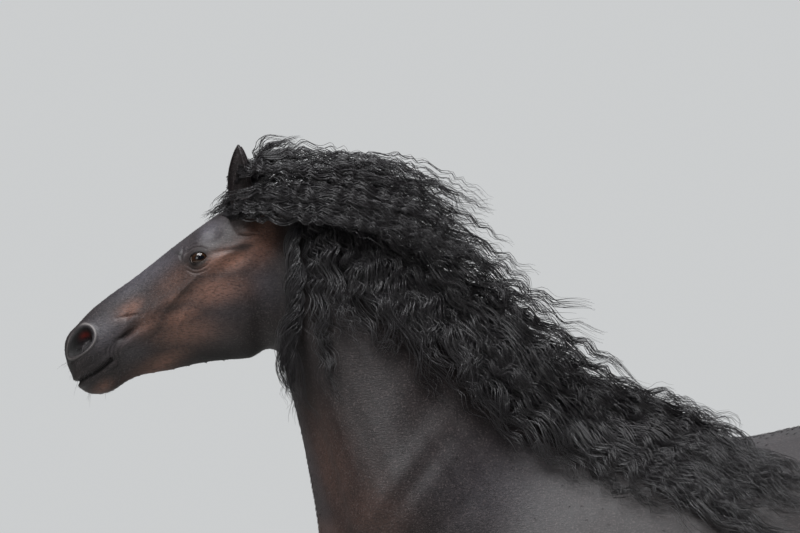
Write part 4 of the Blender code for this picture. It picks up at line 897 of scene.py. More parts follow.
def wrap(mesh, middle, out, thick):
    """Pushes the skin in front of an eyeball out to the lid's thickness over it."""
    points = coordinates(mesh)
    off = points - np.array(middle)
    far = np.linalg.norm(off, axis=1)
    front = (off @ np.array(out) > 0.25 * EYE_RADIUS) & (far < EYE_RADIUS + thick)
    points[front] = np.array(middle) + off[front] / far[front, None] * (EYE_RADIUS + thick)
    put_coordinates(mesh, points)


def around(spot, reach, wide=(1, 1, 1)):
    """A weight that is 1 up to a reach from a spot and 0 at twice the reach."""
    return lambda points: smooth(2.0 - np.linalg.norm((points - np.array(spot)) / wide, axis=1) / reach)


LID_EDGE = 0.0026               # thickness of a lid at its edge
LID_LAST = 0.8 * LID_EDGE       # and after the last smoothing
LID_REACH = 0.025
for side in (-1, 1):
    middle, out, ahead, up = eye_frame(side)
    boolean(skin, ball("lid", middle, EYE_RADIUS + LID_EDGE, out, 96, 48), "UNION", "MANIFOLD")
    soften(skin.data, around(middle, LID_REACH), 26)
    wrap(skin.data, middle, out, LID_EDGE)
    soften(skin.data, around(middle, LID_REACH), 4)
    wrap(skin.data, middle, out, LID_LAST)
    boolean(skin, almond("opening", side, 64), "DIFFERENCE", "MANIFOLD")
    boolean(skin, ball("seat", middle, EYE_RADIUS + 2 * GAP, out, 96, 48), "DIFFERENCE", "MANIFOLD")
print("skin with lids:", len(skin.data.polygons), "triangles")

# %% Folds round the eye
# Softening the lids also takes the folds round the eye away, so they are drawn once more, in two light passes
EYE_FOLDS = FACE_LINES[7:11]
FOLD_REACH, FOLD_PASSES, FOLD_SHARE = 0.06, 2, 0.6
for _ in range(FOLD_PASSES):
    head = head_coordinates(coordinates(skin.data))
    near = np.hypot(head[:, 0] - EYE[0], head[:, 1] - EYE[1]) < FOLD_REACH
    rise = np.zeros(len(head))
    rise[near] = line_height(head[near, :2], EYE_FOLDS) * smooth(head[near, 2] / 0.02 - 1)
    put_coordinates(skin.data, coordinates(skin.data) + FOLD_SHARE * rise[:, None] * normals(skin.data))
print(len(EYE_FOLDS), "folds drawn round each eye")

# %% Ears
# An ear's stations from base to tip: share of its length, half width, half depth
EAR = [(-0.30, 0.046, 0.038), (-0.08, 0.034, 0.029), (0.05, 0.0295, 0.0245), (0.18, 0.030, 0.023),
       (0.38, 0.031, 0.022), (0.60, 0.027, 0.018), (0.80, 0.018, 0.012), (0.93, 0.009, 0.006), (1.0, 0.002, 0.002)]
EAR_BASE, EAR_TIP = (-0.744, 0.060, 2.078), (-0.757, 0.074, 2.240)
EAR_WALL, EAR_CUP = 0.0040, (0.16, 0.97)   # the cup runs between these shares of the ear's length
EAR_RING, EAR_SPAN = 40, 6
EAR_REACH = 0.034
JAW_EDGE, JAW_REACH, JAW_WIDE = (-0.820, 0.0, 1.722), 0.040, (1.6, 1.6, 0.6)


def ear(side):
    """A cupped leaf, open outwards and a little forward."""
    base = Vector((EAR_BASE[0], side * EAR_BASE[1], EAR_BASE[2]))
    tip = Vector((EAR_TIP[0], side * EAR_TIP[1], EAR_TIP[2]))
    up = (tip - base).normalized()
    open_to = Vector((-0.42, side * 0.91, 0.0))
    open_to = (open_to - open_to.dot(up) * up).normalized()
    across = up.cross(open_to)
    outer, inner = [], []
    turn = np.arange(EAR_RING) * math.tau / EAR_RING
    for share, wide, deep in through(EAR, EAR_SPAN):
        middle = base + (tip - base) * share + open_to * 0.010 * math.sin(math.pi * max(share, 0))
        outer.append(np.array([middle + across * wide * math.cos(a) + open_to * deep * math.sin(a) for a in turn]))
        if EAR_CUP[0] < share < EAR_CUP[1]:
            w, d = max(wide - EAR_WALL, 0.0012), max(deep - EAR_WALL, 0.0012)
            shifted = middle + open_to * (deep * 0.62 + EAR_WALL * 0.4)
            ring = [shifted + across * w * math.cos(a) + open_to * d * 1.35 * math.sin(a) for a in turn]
            inner.append(np.array(ring))
    leaf = new_object("leaf", *closed_tube(outer))
    boolean(leaf, new_object("cup", *closed_tube(inner)), "DIFFERENCE", "MANIFOLD")
    return leaf


for side in (-1, 1):
    boolean(skin, ear(side), "UNION", "MANIFOLD")
    soften(skin.data, around((EAR_BASE[0], side * EAR_BASE[1], EAR_BASE[2]), EAR_REACH), 40)
largest_shell(skin)
soften(skin.data, around(JAW_EDGE, JAW_REACH, JAW_WIDE), 16)   # the jaw's lower edge, smooth from side to side
print("skin with ears:", len(skin.data.polygons), "triangles")

# %% [markdown]
# ## Markings, painted sheen and painted shade
# A black horse is not one black. The face is rust brown over the cheekbone and the lower jaw, light round the
# nostril and dark on the lids. The blue grey along the nose, on the shoulder, the back and the croup is painted
# sheen, and the darkness in the nostrils, the line of the mouth, the creases, under the jaw and in the throat is
# painted shade. Each marking is a soft patch or line, worked out at every point of the skin and kept there as a
# number, so that the short hair over it can carry the same markings.

# %% Markings of the skin, with painted sheen and shade
RUST, PAINTED_SHEEN, DARK_AND_SHADE, PALE, RED = "rust", "painted_sheen", "dark_and_shade", "pale", "red"
# On the head: u, v, long and short reach, lean, amount
HEAD_MARKS = {
    RUST: [(0.150, -0.100, 0.070, 0.026, 22, 1.0), (0.220, -0.140, 0.070, 0.034, 25, 0.95),
           (0.330, -0.180, 0.080, 0.034, 30, 0.85), (0.430, -0.200, 0.080, 0.022, 8, 0.8),
           (0.415, -0.050, 0.035, 0.018, 0, 0.75), (0.330, -0.140, 0.060, 0.026, 10, 0.75),
           # This patch also lightens the shaded side of the facial crest: partly rust, partly painted light
           (0.290, -0.105, 0.060, 0.018, 18, 0.5),
           (0.070, -0.110, 0.040, 0.060, 60, 0.8), (0.280, -0.060, 0.070, 0.030, 0, 0.35),
           (0.580, -0.165, 0.030, 0.015, 0, 0.6), (0.400, -0.110, 0.050, 0.030, 0, 0.5)],
    # Painted sheen: grey-blue light on the black coat over the nose, the forehead, the muzzle and the jaw
    PAINTED_SHEEN: [(0.330, 0.000, 0.120, 0.035, 0, 0.9), (0.500, -0.060, 0.060, 0.050, 0, 0.6),
           (0.230, -0.200, 0.080, 0.060, -30, 0.35), (0.150, -0.010, 0.035, 0.025, 0, 0.9),
           (0.110, -0.200, 0.050, 0.060, 0, 0.5), (0.460, -0.130, 0.040, 0.030, 0, 0.5)],
    # Darker over the lower jaw and the upper lip, and painted shade in the creases at and behind the eye, at its front
    # corner, under the jaw and the lower lip, and in the throat
    DARK_AND_SHADE: [(0.110, -0.092, 0.034, 0.009, 20, 0.8), (0.240, -0.018, 0.016, 0.0045, 65, 0.8),
           (0.220, -0.215, 0.080, 0.045, -30, 0.30), (0.480, -0.190, 0.060, 0.022, 0, 0.35),
           (0.238, -0.036, 0.016, 0.012, 60, 0.7),
           (0.235, -0.060, 0.022, 0.010, 20, 0.55), (0.300, -0.280, 0.120, 0.040, 35, 0.8),
           (0.565, -0.100, 0.050, 0.022, 0, 0.5), (0.060, -0.230, 0.060, 0.060, 0, 0.7)],
}
# On the body: x, z, long and short reach, lean, amount
BODY_MARKS = {
    RUST: [(-0.540, 1.480, 0.160, 0.060, -70, 0.22), (-0.440, 1.360, 0.120, 0.080, -50, 0.18),
           (-0.560, 1.320, 0.060, 0.040, 0, 0.3), (0.640, 1.080, 0.120, 0.080, 0, 0.3),
           (0.150, 0.880, 0.300, 0.060, 0, 0.4), (-0.300, 1.000, 0.100, 0.080, 0, 0.3)],
    # Painted sheen on the shoulder, the top of the back, the front edge of the neck and the croup
    PAINTED_SHEEN: [(-0.150, 1.420, 0.150, 0.120, 0, 0.35), (0.350, 1.520, 0.350, 0.070, 0, 0.22),
           (-0.585, 1.470, 0.200, 0.020, -75, 0.4), (0.850, 1.480, 0.120, 0.100, 0, 0.25)],
    # Darker over the lower legs, and painted shade in the throat under the jaw
    DARK_AND_SHADE: [(-0.330, 0.400, 0.200, 0.500, 0, 0.8), (0.900, 0.450, 0.250, 0.450, 0, 0.8),
           (-0.620, 1.700, 0.080, 0.120, 0, 0.5)],
}


def patches(flat, rows):
    amount = np.zeros(len(flat))
    for x, z, long, short, lean, share in rows:
        a, b = turned(flat[:, 0] - x, flat[:, 1] - z, math.radians(lean))
        amount = np.maximum(amount, share * np.exp(-(a / long) ** 2 - (b / short) ** 2))
    return amount


def markings(points):
    """Every marking's amount, from 0 to 1, at points of the skin, the painted sheen and painted shade among them."""
    head = head_coordinates(points)
    near_head = smooth((-0.62 - points[:, 0]) / 0.06) * smooth((points[:, 2] - 1.60) / 0.06)
    found = {}
    for name in (RUST, PAINTED_SHEEN, DARK_AND_SHADE):
        on_face = patches(head[:, :2], HEAD_MARKS[name])
        found[name] = on_face * near_head + patches(points[:, [0, 2]], BODY_MARKS[name]) * (1 - near_head)
    u, v, w = head.T
    side = smooth(w / 0.012 - 1) * near_head
    hole = nostril_shape(u, v)
    inside = smooth((1.10 - hole) / 0.20) * side
    rim = 0.72 + 0.18 * np.clip((NOSTRIL[0] - u) / 0.02, -1, 1)
    found[PALE] = 0.8 * side * rim * np.exp(-((hole - 1.19) / 0.065) ** 2)
    lid = np.hypot((u - EYE[0]) / 0.026, (v - EYE[1]) / 0.017)
    found[DARK_AND_SHADE] = np.maximum(found[DARK_AND_SHADE], side * smooth(1.5 - lid))
    under_lid = np.exp(-((u - EYE[0] + 0.004) / 0.014) ** 2 - ((v - EYE[1] + 0.0165) / 0.0035) ** 2)
    found[PALE] = np.maximum(found[PALE], 0.35 * side * under_lid)
    line = np.array(MOUTH)
    gap = v - np.interp(u, line[:, 0], line[:, 1])
    mouth = smooth((u - line[0, 0] + 0.004) / 0.01) * np.exp(-(gap / 0.0040) ** 2)
    # Painted shade: dark inside the nostrils and along the line of the mouth
    found[DARK_AND_SHADE] = np.maximum.reduce([found[DARK_AND_SHADE], inside, mouth * near_head])
    lining = np.exp(-((u - NOSTRIL[0] + 0.017) / 0.010) ** 2 - ((v - NOSTRIL[1] - 0.004) / 0.008) ** 2)
    found[RED] = 0.9 * inside * lining
    return found


def keep_numbers(mesh, found):
    """Stores numbers on the mesh's points."""
    for name, amount in found.items():
        layer = mesh.attributes.new(name, "FLOAT", "POINT")
        layer.data.foreach_set("value", np.ascontiguousarray(np.ravel(amount), np.float32))


def get_number(mesh, name):
    amount = np.empty(len(mesh.vertices), np.float32)
    mesh.attributes[name].data.foreach_get("value", amount)
    return amount


keep_numbers(skin.data, markings(coordinates(skin.data)))
print("markings:", ", ".join(a.name for a in skin.data.attributes if a.domain == "POINT" and a.data_type == "FLOAT"))

# %% [markdown]
# ## The short coat
# Sleek summer hair lies flat, so most of it is a finish: a fine grain stretched along the lie of the hair breaks up
# the light, a coarser mottle shifts brown and black, and a faint sheen lifts the edges. The grain goes to the bump
# and to the colour together, or the two would look like separate layers.

# %% Coat finish
def coat_finish(name, grain=1.0):
    coat = Finish(name)
    hair = coat.noise(grain * 300, 3.0, 0.7, coat.place((0.30, 1.0, 1.0), (0, math.radians(-38), 0)))
    speck = coat.noise(230, 2.0, 0.7)
    mottle = coat.noise(26, 4.0, 0.6)
    broad = coat.noise(6, 2.0, 0.5)
    patchy = (mottle * 0.9 + broad * 0.4).between(0.35, 0.95)
    colour = coat.mix(patchy, (0.0090, 0.0068, 0.0072), (0.019, 0.0138, 0.0138))
    colour = coat.mix(coat.read(RUST) * (mottle * 0.8 + 0.6), colour, (0.190, 0.094, 0.066))
    # Grey-blue painted sheen, as light glancing off the black coat
    colour = coat.mix(coat.read(PAINTED_SHEEN) * (mottle * 0.5 + 0.5), colour, (0.082, 0.078, 0.092))
    colour = coat.mix(hair.between(0.40, 0.70) * 0.60, colour, (0.004, 0.003, 0.003))
    colour = coat.mix(speck.between(0.50, 0.74) * 0.34, colour, (0.135, 0.110, 0.108))
    # Dark lids and lower legs, and painted shade in the nostrils, the mouth, the creases, under the jaw and in the
    # throat
    colour = coat.mix(coat.read(DARK_AND_SHADE) * 0.96, colour, (0.0030, 0.0026, 0.0026))
    colour = coat.mix(coat.read(PALE), colour, (0.20, 0.185, 0.18))
    colour = coat.mix(coat.read(RED), colour, (0.26, 0.018, 0.010))
    lie = coat.bump(hair, 0.0012, 0.75)
    pores = coat.bump(coat.noise(900, 1.0, 0.5), 0.0003, 0.4, lie)
    rough = 0.52 - coat.read(PAINTED_SHEEN) * 0.08 + coat.read(DARK_AND_SHADE) * 0.25 + (mottle - 0.5) * 0.12
    return coat.done(Base_Color=colour, Roughness=rough, Normal=pores, Sheen_Weight=0.03,
                     Sheen_Roughness=0.4, Specular_IOR_Level=0.32)


skin.data.materials.clear()
skin.data.materials.append(coat_finish("short black coat"))
skin.data.polygons.foreach_set("material_index", np.zeros(len(skin.data.polygons), np.int32))
skin.data.shade_smooth()
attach(skin, "root")
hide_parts("head", "neck", "torso", *LEGS, "ear_left", "ear_right")
print("skin:", len(skin.data.polygons), "triangles,", len(skin.data.materials), "finish")

# %% [markdown]
# ## Eyes
# A horse's eye is a dark brown ball with a wide, level pupil, and a little white shows at the front corner when it
# looks back. The ball stays a piece of its own behind the lids. Its rings are worked out in the finish from the
# distance to the way it looks, so no picture is needed.

# %% Eyes
IRIS, PUPIL_WIDE, PUPIL_HIGH = 0.86, 0.52, 0.24    # as shares of the eyeball's radius, across the way it looks


def eye_finish(name, middle, out, ahead, up):
    eye = Finish(name)
    spot = eye.add("ShaderNodeTexCoord", {}, {}, 3)
    off = eye.add("ShaderNodeVectorMath", {"operation": "SUBTRACT"}, {0: spot, 1: tuple(middle)})

    def along(way):
        return eye.add("ShaderNodeVectorMath", {"operation": "DOT_PRODUCT"}, {0: off, 1: tuple(way)}, 1) / EYE_RADIUS

    look = (out * 0.96 - ahead * 0.27).normalized()
    level = (ahead - ahead.dot(look) * look).normalized()
    a, b = along(level), along(up)
    ring = (a * a + b * b) ** 0.5
    pupil = (a * a / PUPIL_WIDE ** 2 + b * b / PUPIL_HIGH ** 2) ** 0.5
    streaks = eye.noise(240, 3.0, 0.6)
    colour = eye.mix(streaks, (0.012, 0.0055, 0.003), (0.038, 0.017, 0.007))
    colour = eye.mix(pupil.between(1.15, 0.85), colour, (0.0015, 0.002, 0.0035))
    colour = eye.mix(ring.between(IRIS - 0.10, IRIS), colour, (0.006, 0.004, 0.003))
    colour = eye.mix(ring.between(IRIS, IRIS + 0.03) * along(level).between(0.2, 0.5), colour, (0.42, 0.36, 0.33))
    return eye.done(Base_Color=colour, Roughness=0.10, Coat_Weight=0.5, Coat_Roughness=0.02, IOR=1.40)


for side, name in ((-1, "eye_left"), (1, "eye_right")):
    frame_of_eye = eye_frame(side)
    eyeball = ball(name + "_ball", frame_of_eye[0], EYE_RADIUS, frame_of_eye[1], 64, 40)
    eyeball.data.materials.append(eye_finish(name + " finish", *frame_of_eye))
    eyeball.data.shade_smooth()
    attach(eyeball, "root")
    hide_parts(name)
    print(eyeball.name, len(eyeball.data.polygons), "faces")

# %% [markdown]
# ## Hoofs
# A hoof is a tube of horn that grows down from the coronet, a few millimetres a month, so it shows level rings and
# fine upright grain, darker above and dull with dust below. The tube has the solid's rows with three times the
# points, and its rings are real ridges a fraction of a millimetre high.

# %% Hoofs
CORONET = {"fore": ((-0.414, 0.098), (-0.318, 0.058)), "hind": ((0.837, 0.098), (0.933, 0.058))}
GROUND = {"fore": (-0.478, -0.325, 0.068), "hind": (0.778, 0.925, 0.062)}   # toe x, heel x, half width
CORONET_HALF = {"fore": 0.056, "hind": 0.053}
HOOF_RING, HOOF_STEPS = 96, 40


def hoof(name):
    """A hoof wall from the coronet to a flat sole on the floor, straighter at the heels."""
    shift, side = LEGS[name]
    kind = name[:4]
    (top_toe, toe_z), (top_heel, heel_z) = CORONET[kind]
    toe, heel, half = GROUND[kind]
    turn = np.arange(HOOF_RING) * math.tau / HOOF_RING
    along = -np.cos(turn)
    rings = []
    for t in np.linspace(0, 1, HOOF_STEPS):
        front, rear = top_toe + (toe - top_toe) * t, top_heel + (heel - top_heel) * t
        wide = CORONET_HALF[kind] + 0.004 * min(t / 0.12, 1) + (half - CORONET_HALF[kind] - 0.004) * t
        ridge = -0.0009 + 0.0007 * math.sin(t * 47 + 2 * math.sin(t * 9)) - 0.0006 * smooth(t * 14 - 13)
        x = (front + rear) / 2 + ((rear - front) / 2 + ridge) * along
        y = (wide + ridge) * np.sin(turn) * (1 - 0.16 * along) * np.where(along > 0, 1 - 0.10 * along ** 4, 1)
        z = (1 - t) * (toe_z + (heel_z - toe_z) * (along + 1) / 2 - GAP)
        rings.append(np.column_stack([x + shift, y + side, z]))
    return new_object("hoof_" + name + "_horn", *closed_tube(rings))


horn = Finish("hoof horn")
grain = horn.noise(160, 3.0, 0.6, horn.place((1.0, 1.0, 0.06)))
rings = horn.noise(70, 2.0, 0.5, horn.place((0.05, 0.05, 1.6)))
dust = horn.noise(14, 3.0, 0.6)
horn_colour = horn.mix(grain * 0.6 + rings * 0.4, (0.016, 0.014, 0.013), (0.060, 0.052, 0.046))
horn_colour = horn.mix(dust.between(0.5, 0.8) * 0.35, horn_colour, (0.13, 0.115, 0.10))
horn_bump = horn.bump(grain + rings, 0.0006, 0.6)
horn_finish = horn.done(Base_Color=horn_colour, Roughness=0.42 + dust * 0.2, Normal=horn_bump)
for name in LEGS:
    wall = hoof(name)
    wall.data.materials.append(horn_finish)
    wall.data.shade_smooth()
    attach(wall, "root")
    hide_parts("hoof_" + name)
    print(wall.name, len(wall.data.polygons), "faces")

# %% [markdown]
# ## Strands
# Long hair is built strand by strand. A strand starts as a chain of points with a thickness at each, and a small
# Geometry Nodes tree turns all chains of a piece into closed, tapered tubes at once: mesh to curve, a radius from the
# points' numbers, a ring swept along. The result is made a plain mesh, since the tree itself isn't exported.

# %% Trees of geometry nodes
class Recipe:
    """A Geometry Nodes tree with named inputs and one output."""

    def __init__(self, name, inputs, output):
        self.tree = bpy.data.node_groups.new(name, "GeometryNodeTree")
        for socket, kind in inputs:
            self.tree.interface.new_socket(socket, in_out="INPUT", socket_type="NodeSocket" + kind)
        self.tree.interface.new_socket(output, in_out="OUTPUT", socket_type="NodeSocketGeometry")
        self.start, self.end = self.node("NodeGroupInput").outputs, self.node("NodeGroupOutput").inputs

    def node(self, kind, **settings):
        made = self.tree.nodes.new(kind)
        for key, value in settings.items():
            setattr(made, key, value)
        return made

    def named(self, name, kind):
        """A number or a direction that the mesh carries on its points."""
        made = self.node("GeometryNodeInputNamedAttribute", data_type=kind)
        made.inputs["Name"].default_value = name
        return made.outputs["Attribute"]

    def join(self, *pairs):
        for source, target in pairs:
            self.tree.links.new(source, target)

    def grow(self, name, ground, values):
        """Runs the tree on an object and keeps the result as a plain mesh, in the object's place."""
        change = ground.modifiers.new(name, "NODES")
        change.node_group = self.tree
        names = {item.name: item.identifier for item in self.tree.interface.items_tree if item.in_out == "INPUT"}
        for key, value in values.items():
            change[names[key]] = value
        mesh = bpy.data.meshes.new_from_object(ground.evaluated_get(bpy.context.evaluated_depsgraph_get()))
        bpy.data.objects.remove(ground)
        thing = bpy.data.objects.new(name, mesh)
        bpy.context.scene.collection.objects.link(thing)
        return thing


# %% Strand maker
def strand_recipe():
    recipe = Recipe("strands", [("Chains", "Geometry"), ("Thickness", "Float"), ("Sides", "Int"),
                                ("Finish", "Material")], "Hair")
    start, node = recipe.start, recipe.node
    chain, size = node("GeometryNodeMeshToCurve"), node("ShaderNodeMath", operation="MULTIPLY")
    ring, sweep = node("GeometryNodeCurvePrimitiveCircle"), node("GeometryNodeCurveToMesh")
    soft, real = node("GeometryNodeSetShadeSmooth"), node("GeometryNodeRealizeInstances")
    dye = node("GeometryNodeSetMaterial")
    ring.inputs["Radius"].default_value = 1.0
    sweep.inputs["Fill Caps"].default_value = True
    recipe.join((start["Chains"], chain.inputs["Mesh"]), (chain.outputs["Curve"], sweep.inputs["Curve"]),
                (recipe.named("thickness", "FLOAT"), size.inputs[0]), (start["Thickness"], size.inputs[1]),
                (size.outputs[0], sweep.inputs["Scale"]), (start["Sides"], ring.inputs["Resolution"]),
                (ring.outputs["Curve"], sweep.inputs["Profile Curve"]),
                (sweep.outputs["Mesh"], soft.inputs["Geometry"]), (soft.outputs["Geometry"], real.inputs["Geometry"]),
                (real.outputs["Geometry"], dye.inputs["Geometry"]), (start["Finish"], dye.inputs["Material"]),
                (dye.outputs["Geometry"], recipe.end["Hair"]))
    return recipe


STRANDS = strand_recipe()
PATCH = 0.003                   # width of a strand's patch on its UV map
SIDES = 3


def lay_patches(mesh, across):
    """The OFBake map: a small patch for each strand or tuft, at its root's place on the unwrap."""
    corner = np.empty(len(mesh.loops), np.int32)
    mesh.loops.foreach_get("vertex_index", corner)
    u = get_number(mesh, "root_u") + PATCH * across
    v = get_number(mesh, "root_v") + PATCH * (get_number(mesh, "along") - 0.5)
    layer = mesh.uv_layers.new(name="OFBake")
    layer.data.foreach_set("uv", np.column_stack([u[corner], v[corner]]).astype(np.float32).ravel())


def strand_piece(name, chains, thickness, roots, finish, shade):
    """Closed tubes along chains (strands x points x 3). thickness is per point, roots are places on an unwrap."""
    strands, steps = chains.shape[:2]
    mesh = bpy.data.meshes.new(name)
    mesh.vertices.add(strands * steps)
    mesh.vertices.foreach_set("co", chains.astype(np.float32).ravel())
    first = (np.arange(strands)[:, None] * steps + np.arange(steps - 1)).ravel()
    mesh.edges.add(len(first))
    mesh.edges.foreach_set("vertices", np.column_stack([first, first + 1]).astype(np.int32).ravel())
    keep_numbers(mesh, {"thickness": thickness, "root_u": np.repeat(roots[:, 0], steps),
                        "root_v": np.repeat(roots[:, 1], steps), "shade": np.repeat(shade, steps),
                        "along": np.tile(np.linspace(0, 1, steps), strands)})
    ground = bpy.data.objects.new(name + "_chains", mesh)
    bpy.context.scene.collection.objects.link(ground)
    hair = STRANDS.grow(name, ground, {"Thickness": 1.0, "Sides": SIDES, "Finish": finish})
    lay_patches(hair.data, (np.arange(len(hair.data.vertices)) % SIDES) / (SIDES - 1) - 0.5)
    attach(hair, "root")
    triangles = sum(len(p.vertices) - 2 for p in hair.data.polygons)
    print(name, strands, "strands,", triangles, "triangles")
    return hair


def together(locks):
    """Chains, thicknesses, roots and shades of many locks, each as one array."""
    return [np.concatenate(part) for part in zip(*locks)]


def hair_piece(name, laid, lowest=0.0):
    """A piece of the horse's hair out of laid locks, with no point under the lowest height."""
    chains, thickness, roots, shade = laid
    chains[..., 2] = np.maximum(chains[..., 2], lowest)
    return strand_piece(name, chains, thickness, roots, mane_finish, shade)


# %% [markdown]
# ## Locks
# Hair hangs together in locks: strands that start side by side, wave in step and run out at different lengths. A lock
# follows one course. Its cross section is a flat oval, narrow at the root, full in the middle and drawn to a point,
# and every strand keeps its own place in the oval. Strands made one by one would give an even, lifeless sheet.

# %% Locks
def along_course(points, share):
    """Points at the given shares of a course through a few points."""
    fine = through(points, 8)
    length = np.concatenate([[0], np.cumsum(np.linalg.norm(np.diff(fine, axis=0), axis=1))])
    at = np.asarray(share) * length[-1]
    return np.column_stack([np.interp(at, length, fine[:, axis]) for axis in range(fine.shape[1])])


def between(family, where):
    """A course between two neighbours of a family, where running from 0 to 1."""
    at = where * (len(family) - 1)
    low = min(int(at), len(family) - 2)
    return np.array(family[low]) + (np.array(family[low + 1]) - np.array(family[low])) * (at - low)


body_tree = BVHTree.FromPolygons([tuple(p) for p in coordinates(skin.data)],
                                 [tuple(p.vertices) for p in skin.data.polygons])
DEEPEST = 0.08                  # farther than this from the skin, a point is taken to lie outside it


def lift(points, clear):
    """Moves points that lie in the skin, or nearer than clear, out to that distance."""
    out = points.copy()
    for i, point in enumerate(points):
        spot, normal, _, distance = body_tree.find_nearest(Vector(point))
        if distance > DEEPEST:
            continue
        off = Vector(point) - spot
        height = distance if off.dot(normal) > 0 else -distance
        if height < clear:
            out[i] = point + np.array(normal) * (clear - height)
    return out


def unit(v):
    return v / np.maximum(np.linalg.norm(v, axis=-1, keepdims=True), 1e-9)


FULL_AT, FULLNESS = (0.0, 0.08, 0.30, 0.60, 0.85, 1.0), (0.45, 0.6, 0.95, 1.0, 0.72, 0.40)


def lock_strands(course, flat, count, wide, thick, steps, wave, chance, spread_tip=0.4, clear=0.002):
    """Strands of one lock. wave is (height, length) of its crimp. Returns chains and their lengths' shares."""
    share = np.linspace(0, 1, steps)
    middle = along_course(course, share)
    facing = along_course(flat, share)
    heading = unit(np.gradient(middle, axis=0))
    side = unit(np.cross(heading, facing))
    face = unit(np.cross(side, heading))
    length = np.linalg.norm(np.diff(middle, axis=0), axis=1).sum()
    angle = chance.random(count) * math.tau
    far = np.sqrt(chance.random(count))
    a, b = far * np.cos(angle), far * np.sin(angle)
    body = np.interp(share, FULL_AT, FULLNESS)
    reach = 1 - 0.30 * chance.random(count) ** 1.5
    reach[: count // 4] = 1 - 0.06 * chance.random(count // 4)
    t = share[None, :] * reach[:, None]
    place = [np.array([np.interp(t, share, layer[:, axis]) for axis in range(3)]).transpose(1, 2, 0)
             for layer in (middle, side, face)]
    full = np.interp(t, share, body)
    high, long = wave
    rate = 1 + 0.10 * (chance.random() - 0.5)
    turn = math.tau * (t * length / long * rate + 0.25 * np.sin(2.2 * t * length / long + 9 * chance.random()))
    phase = math.tau * chance.random() + 0.45 * chance.standard_normal(count)[:, None] * (0.4 + t)
    swing = high * np.minimum(6 * t, 1) * (0.8 + 0.4 * chance.random())
    stray = chance.standard_normal((count, 2)) * spread_tip
    off_side = a[:, None] * wide / 2 * full + swing * np.sin(turn + phase) + stray[:, :1] * wide * t ** 2.5
    off_face = (b[:, None] * thick / 2 * full + 0.55 * swing * np.cos(turn + phase)
                + stray[:, 1:] * thick * t ** 2.5)
    chains = place[0] + place[1] * off_side[..., None] + place[2] * off_face[..., None]
    flat_points = lift(chains.reshape(-1, 3), clear)
    return flat_points.reshape(chains.shape), t


TAPER_AT, TAPER = (0.0, 0.06, 0.5, 0.85, 1.0), (0.75, 1.0, 1.0, 0.62, 0.16)


def strand_thickness(t, reach_end, thick, chance):
    """Thickness along each strand, drawn to a fine tip at its own end."""
    own = t / reach_end[:, None]
    return np.interp(own, TAPER_AT, TAPER) * thick * (0.7 + 0.6 * chance.random(len(t)))[:, None]


def lock_row(course, flat, count, steps, sizes, wave, root, stray, chance, *more):
    """One laid lock: chains, thicknesses, roots and shades. sizes: its width and thickness, and a strand's."""
    chains, t = lock_strands(np.array(course), np.array(flat), count, *sizes[:2], steps, wave, chance, *more)
    thickness = strand_thickness(t, t[:, -1], sizes[2], chance)
    roots = np.tile(root, (count, 1)) + stray * chance.standard_normal((count, 2))
    return chains, thickness, roots, chance.random(count)


print("locks can be laid")

# %% [markdown]
# ## Hair finish
# The mane is black with a grey, faintly violet shine along the top of every wave. The shine is real light on real
# curved strands, so the finish only needs a near-black colour, a smooth surface, and strands that differ a little.

# %% Hair finish
def hair_finish(name, root, tip, rough):
    hair = Finish(name)
    shade = hair.read("shade")
    colour = hair.mix(hair.read("along"), root, tip)
    colour = hair.mix(shade * 0.8, colour, (0.018, 0.0155, 0.0175))
    fine = hair.noise(300, 2.0, 0.6)
    return hair.done(Base_Color=colour, Roughness=rough + (fine - 0.5) * 0.15, Specular_IOR_Level=0.54,
                     Sheen_Weight=0.06)


mane_finish = hair_finish("black mane", (0.0055, 0.0050, 0.0060), (0.0100, 0.0086, 0.0100), 0.36)
print("hair finish:", mane_finish.name)

# %% [markdown]
# ## Mane
# The mane grows along the crest from the poll to the withers. The wind lifts its upper hair back over the neck and
# lets the rest fall across it, so a lock's course lies between two families of drawn curves: one blown high, one
# falling low. Two thirds of the locks lie on the near side.

# %% Mane
# The crest line, from the poll to behind the withers, on which the mane stands: x, z
CREST = [(-0.640, 2.112), (-0.560, 2.086), (-0.450, 2.018), (-0.340, 1.925), (-0.230, 1.818),
         (-0.120, 1.712), (-0.055, 1.662)]
# Side-view courses of the blown mane, at even steps along the crest. The high family lifts off the crest,
# the low one falls over the side of the neck. Each has x, z at four steps from root to tip.
HIGH = [
    [(-0.585, 2.190), (-0.455, 2.218), (-0.300, 2.172), (-0.130, 2.095)],
    [(-0.480, 2.150), (-0.345, 2.140), (-0.200, 2.060), (-0.060, 1.975)],
    [(-0.385, 2.075), (-0.255, 2.035), (-0.110, 1.945), (0.060, 1.865)],
    [(-0.275, 1.975), (-0.145, 1.915), (0.015, 1.835), (0.190, 1.765)],
    [(-0.165, 1.865), (-0.030, 1.800), (0.130, 1.720), (0.300, 1.640)],
    [(-0.055, 1.760), (0.075, 1.705), (0.235, 1.640), (0.400, 1.575)],
    [(0.040, 1.680), (0.170, 1.655), (0.320, 1.615), (0.480, 1.565)],
    [(0.120, 1.640), (0.240, 1.620), (0.380, 1.590), (0.540, 1.560)],
]
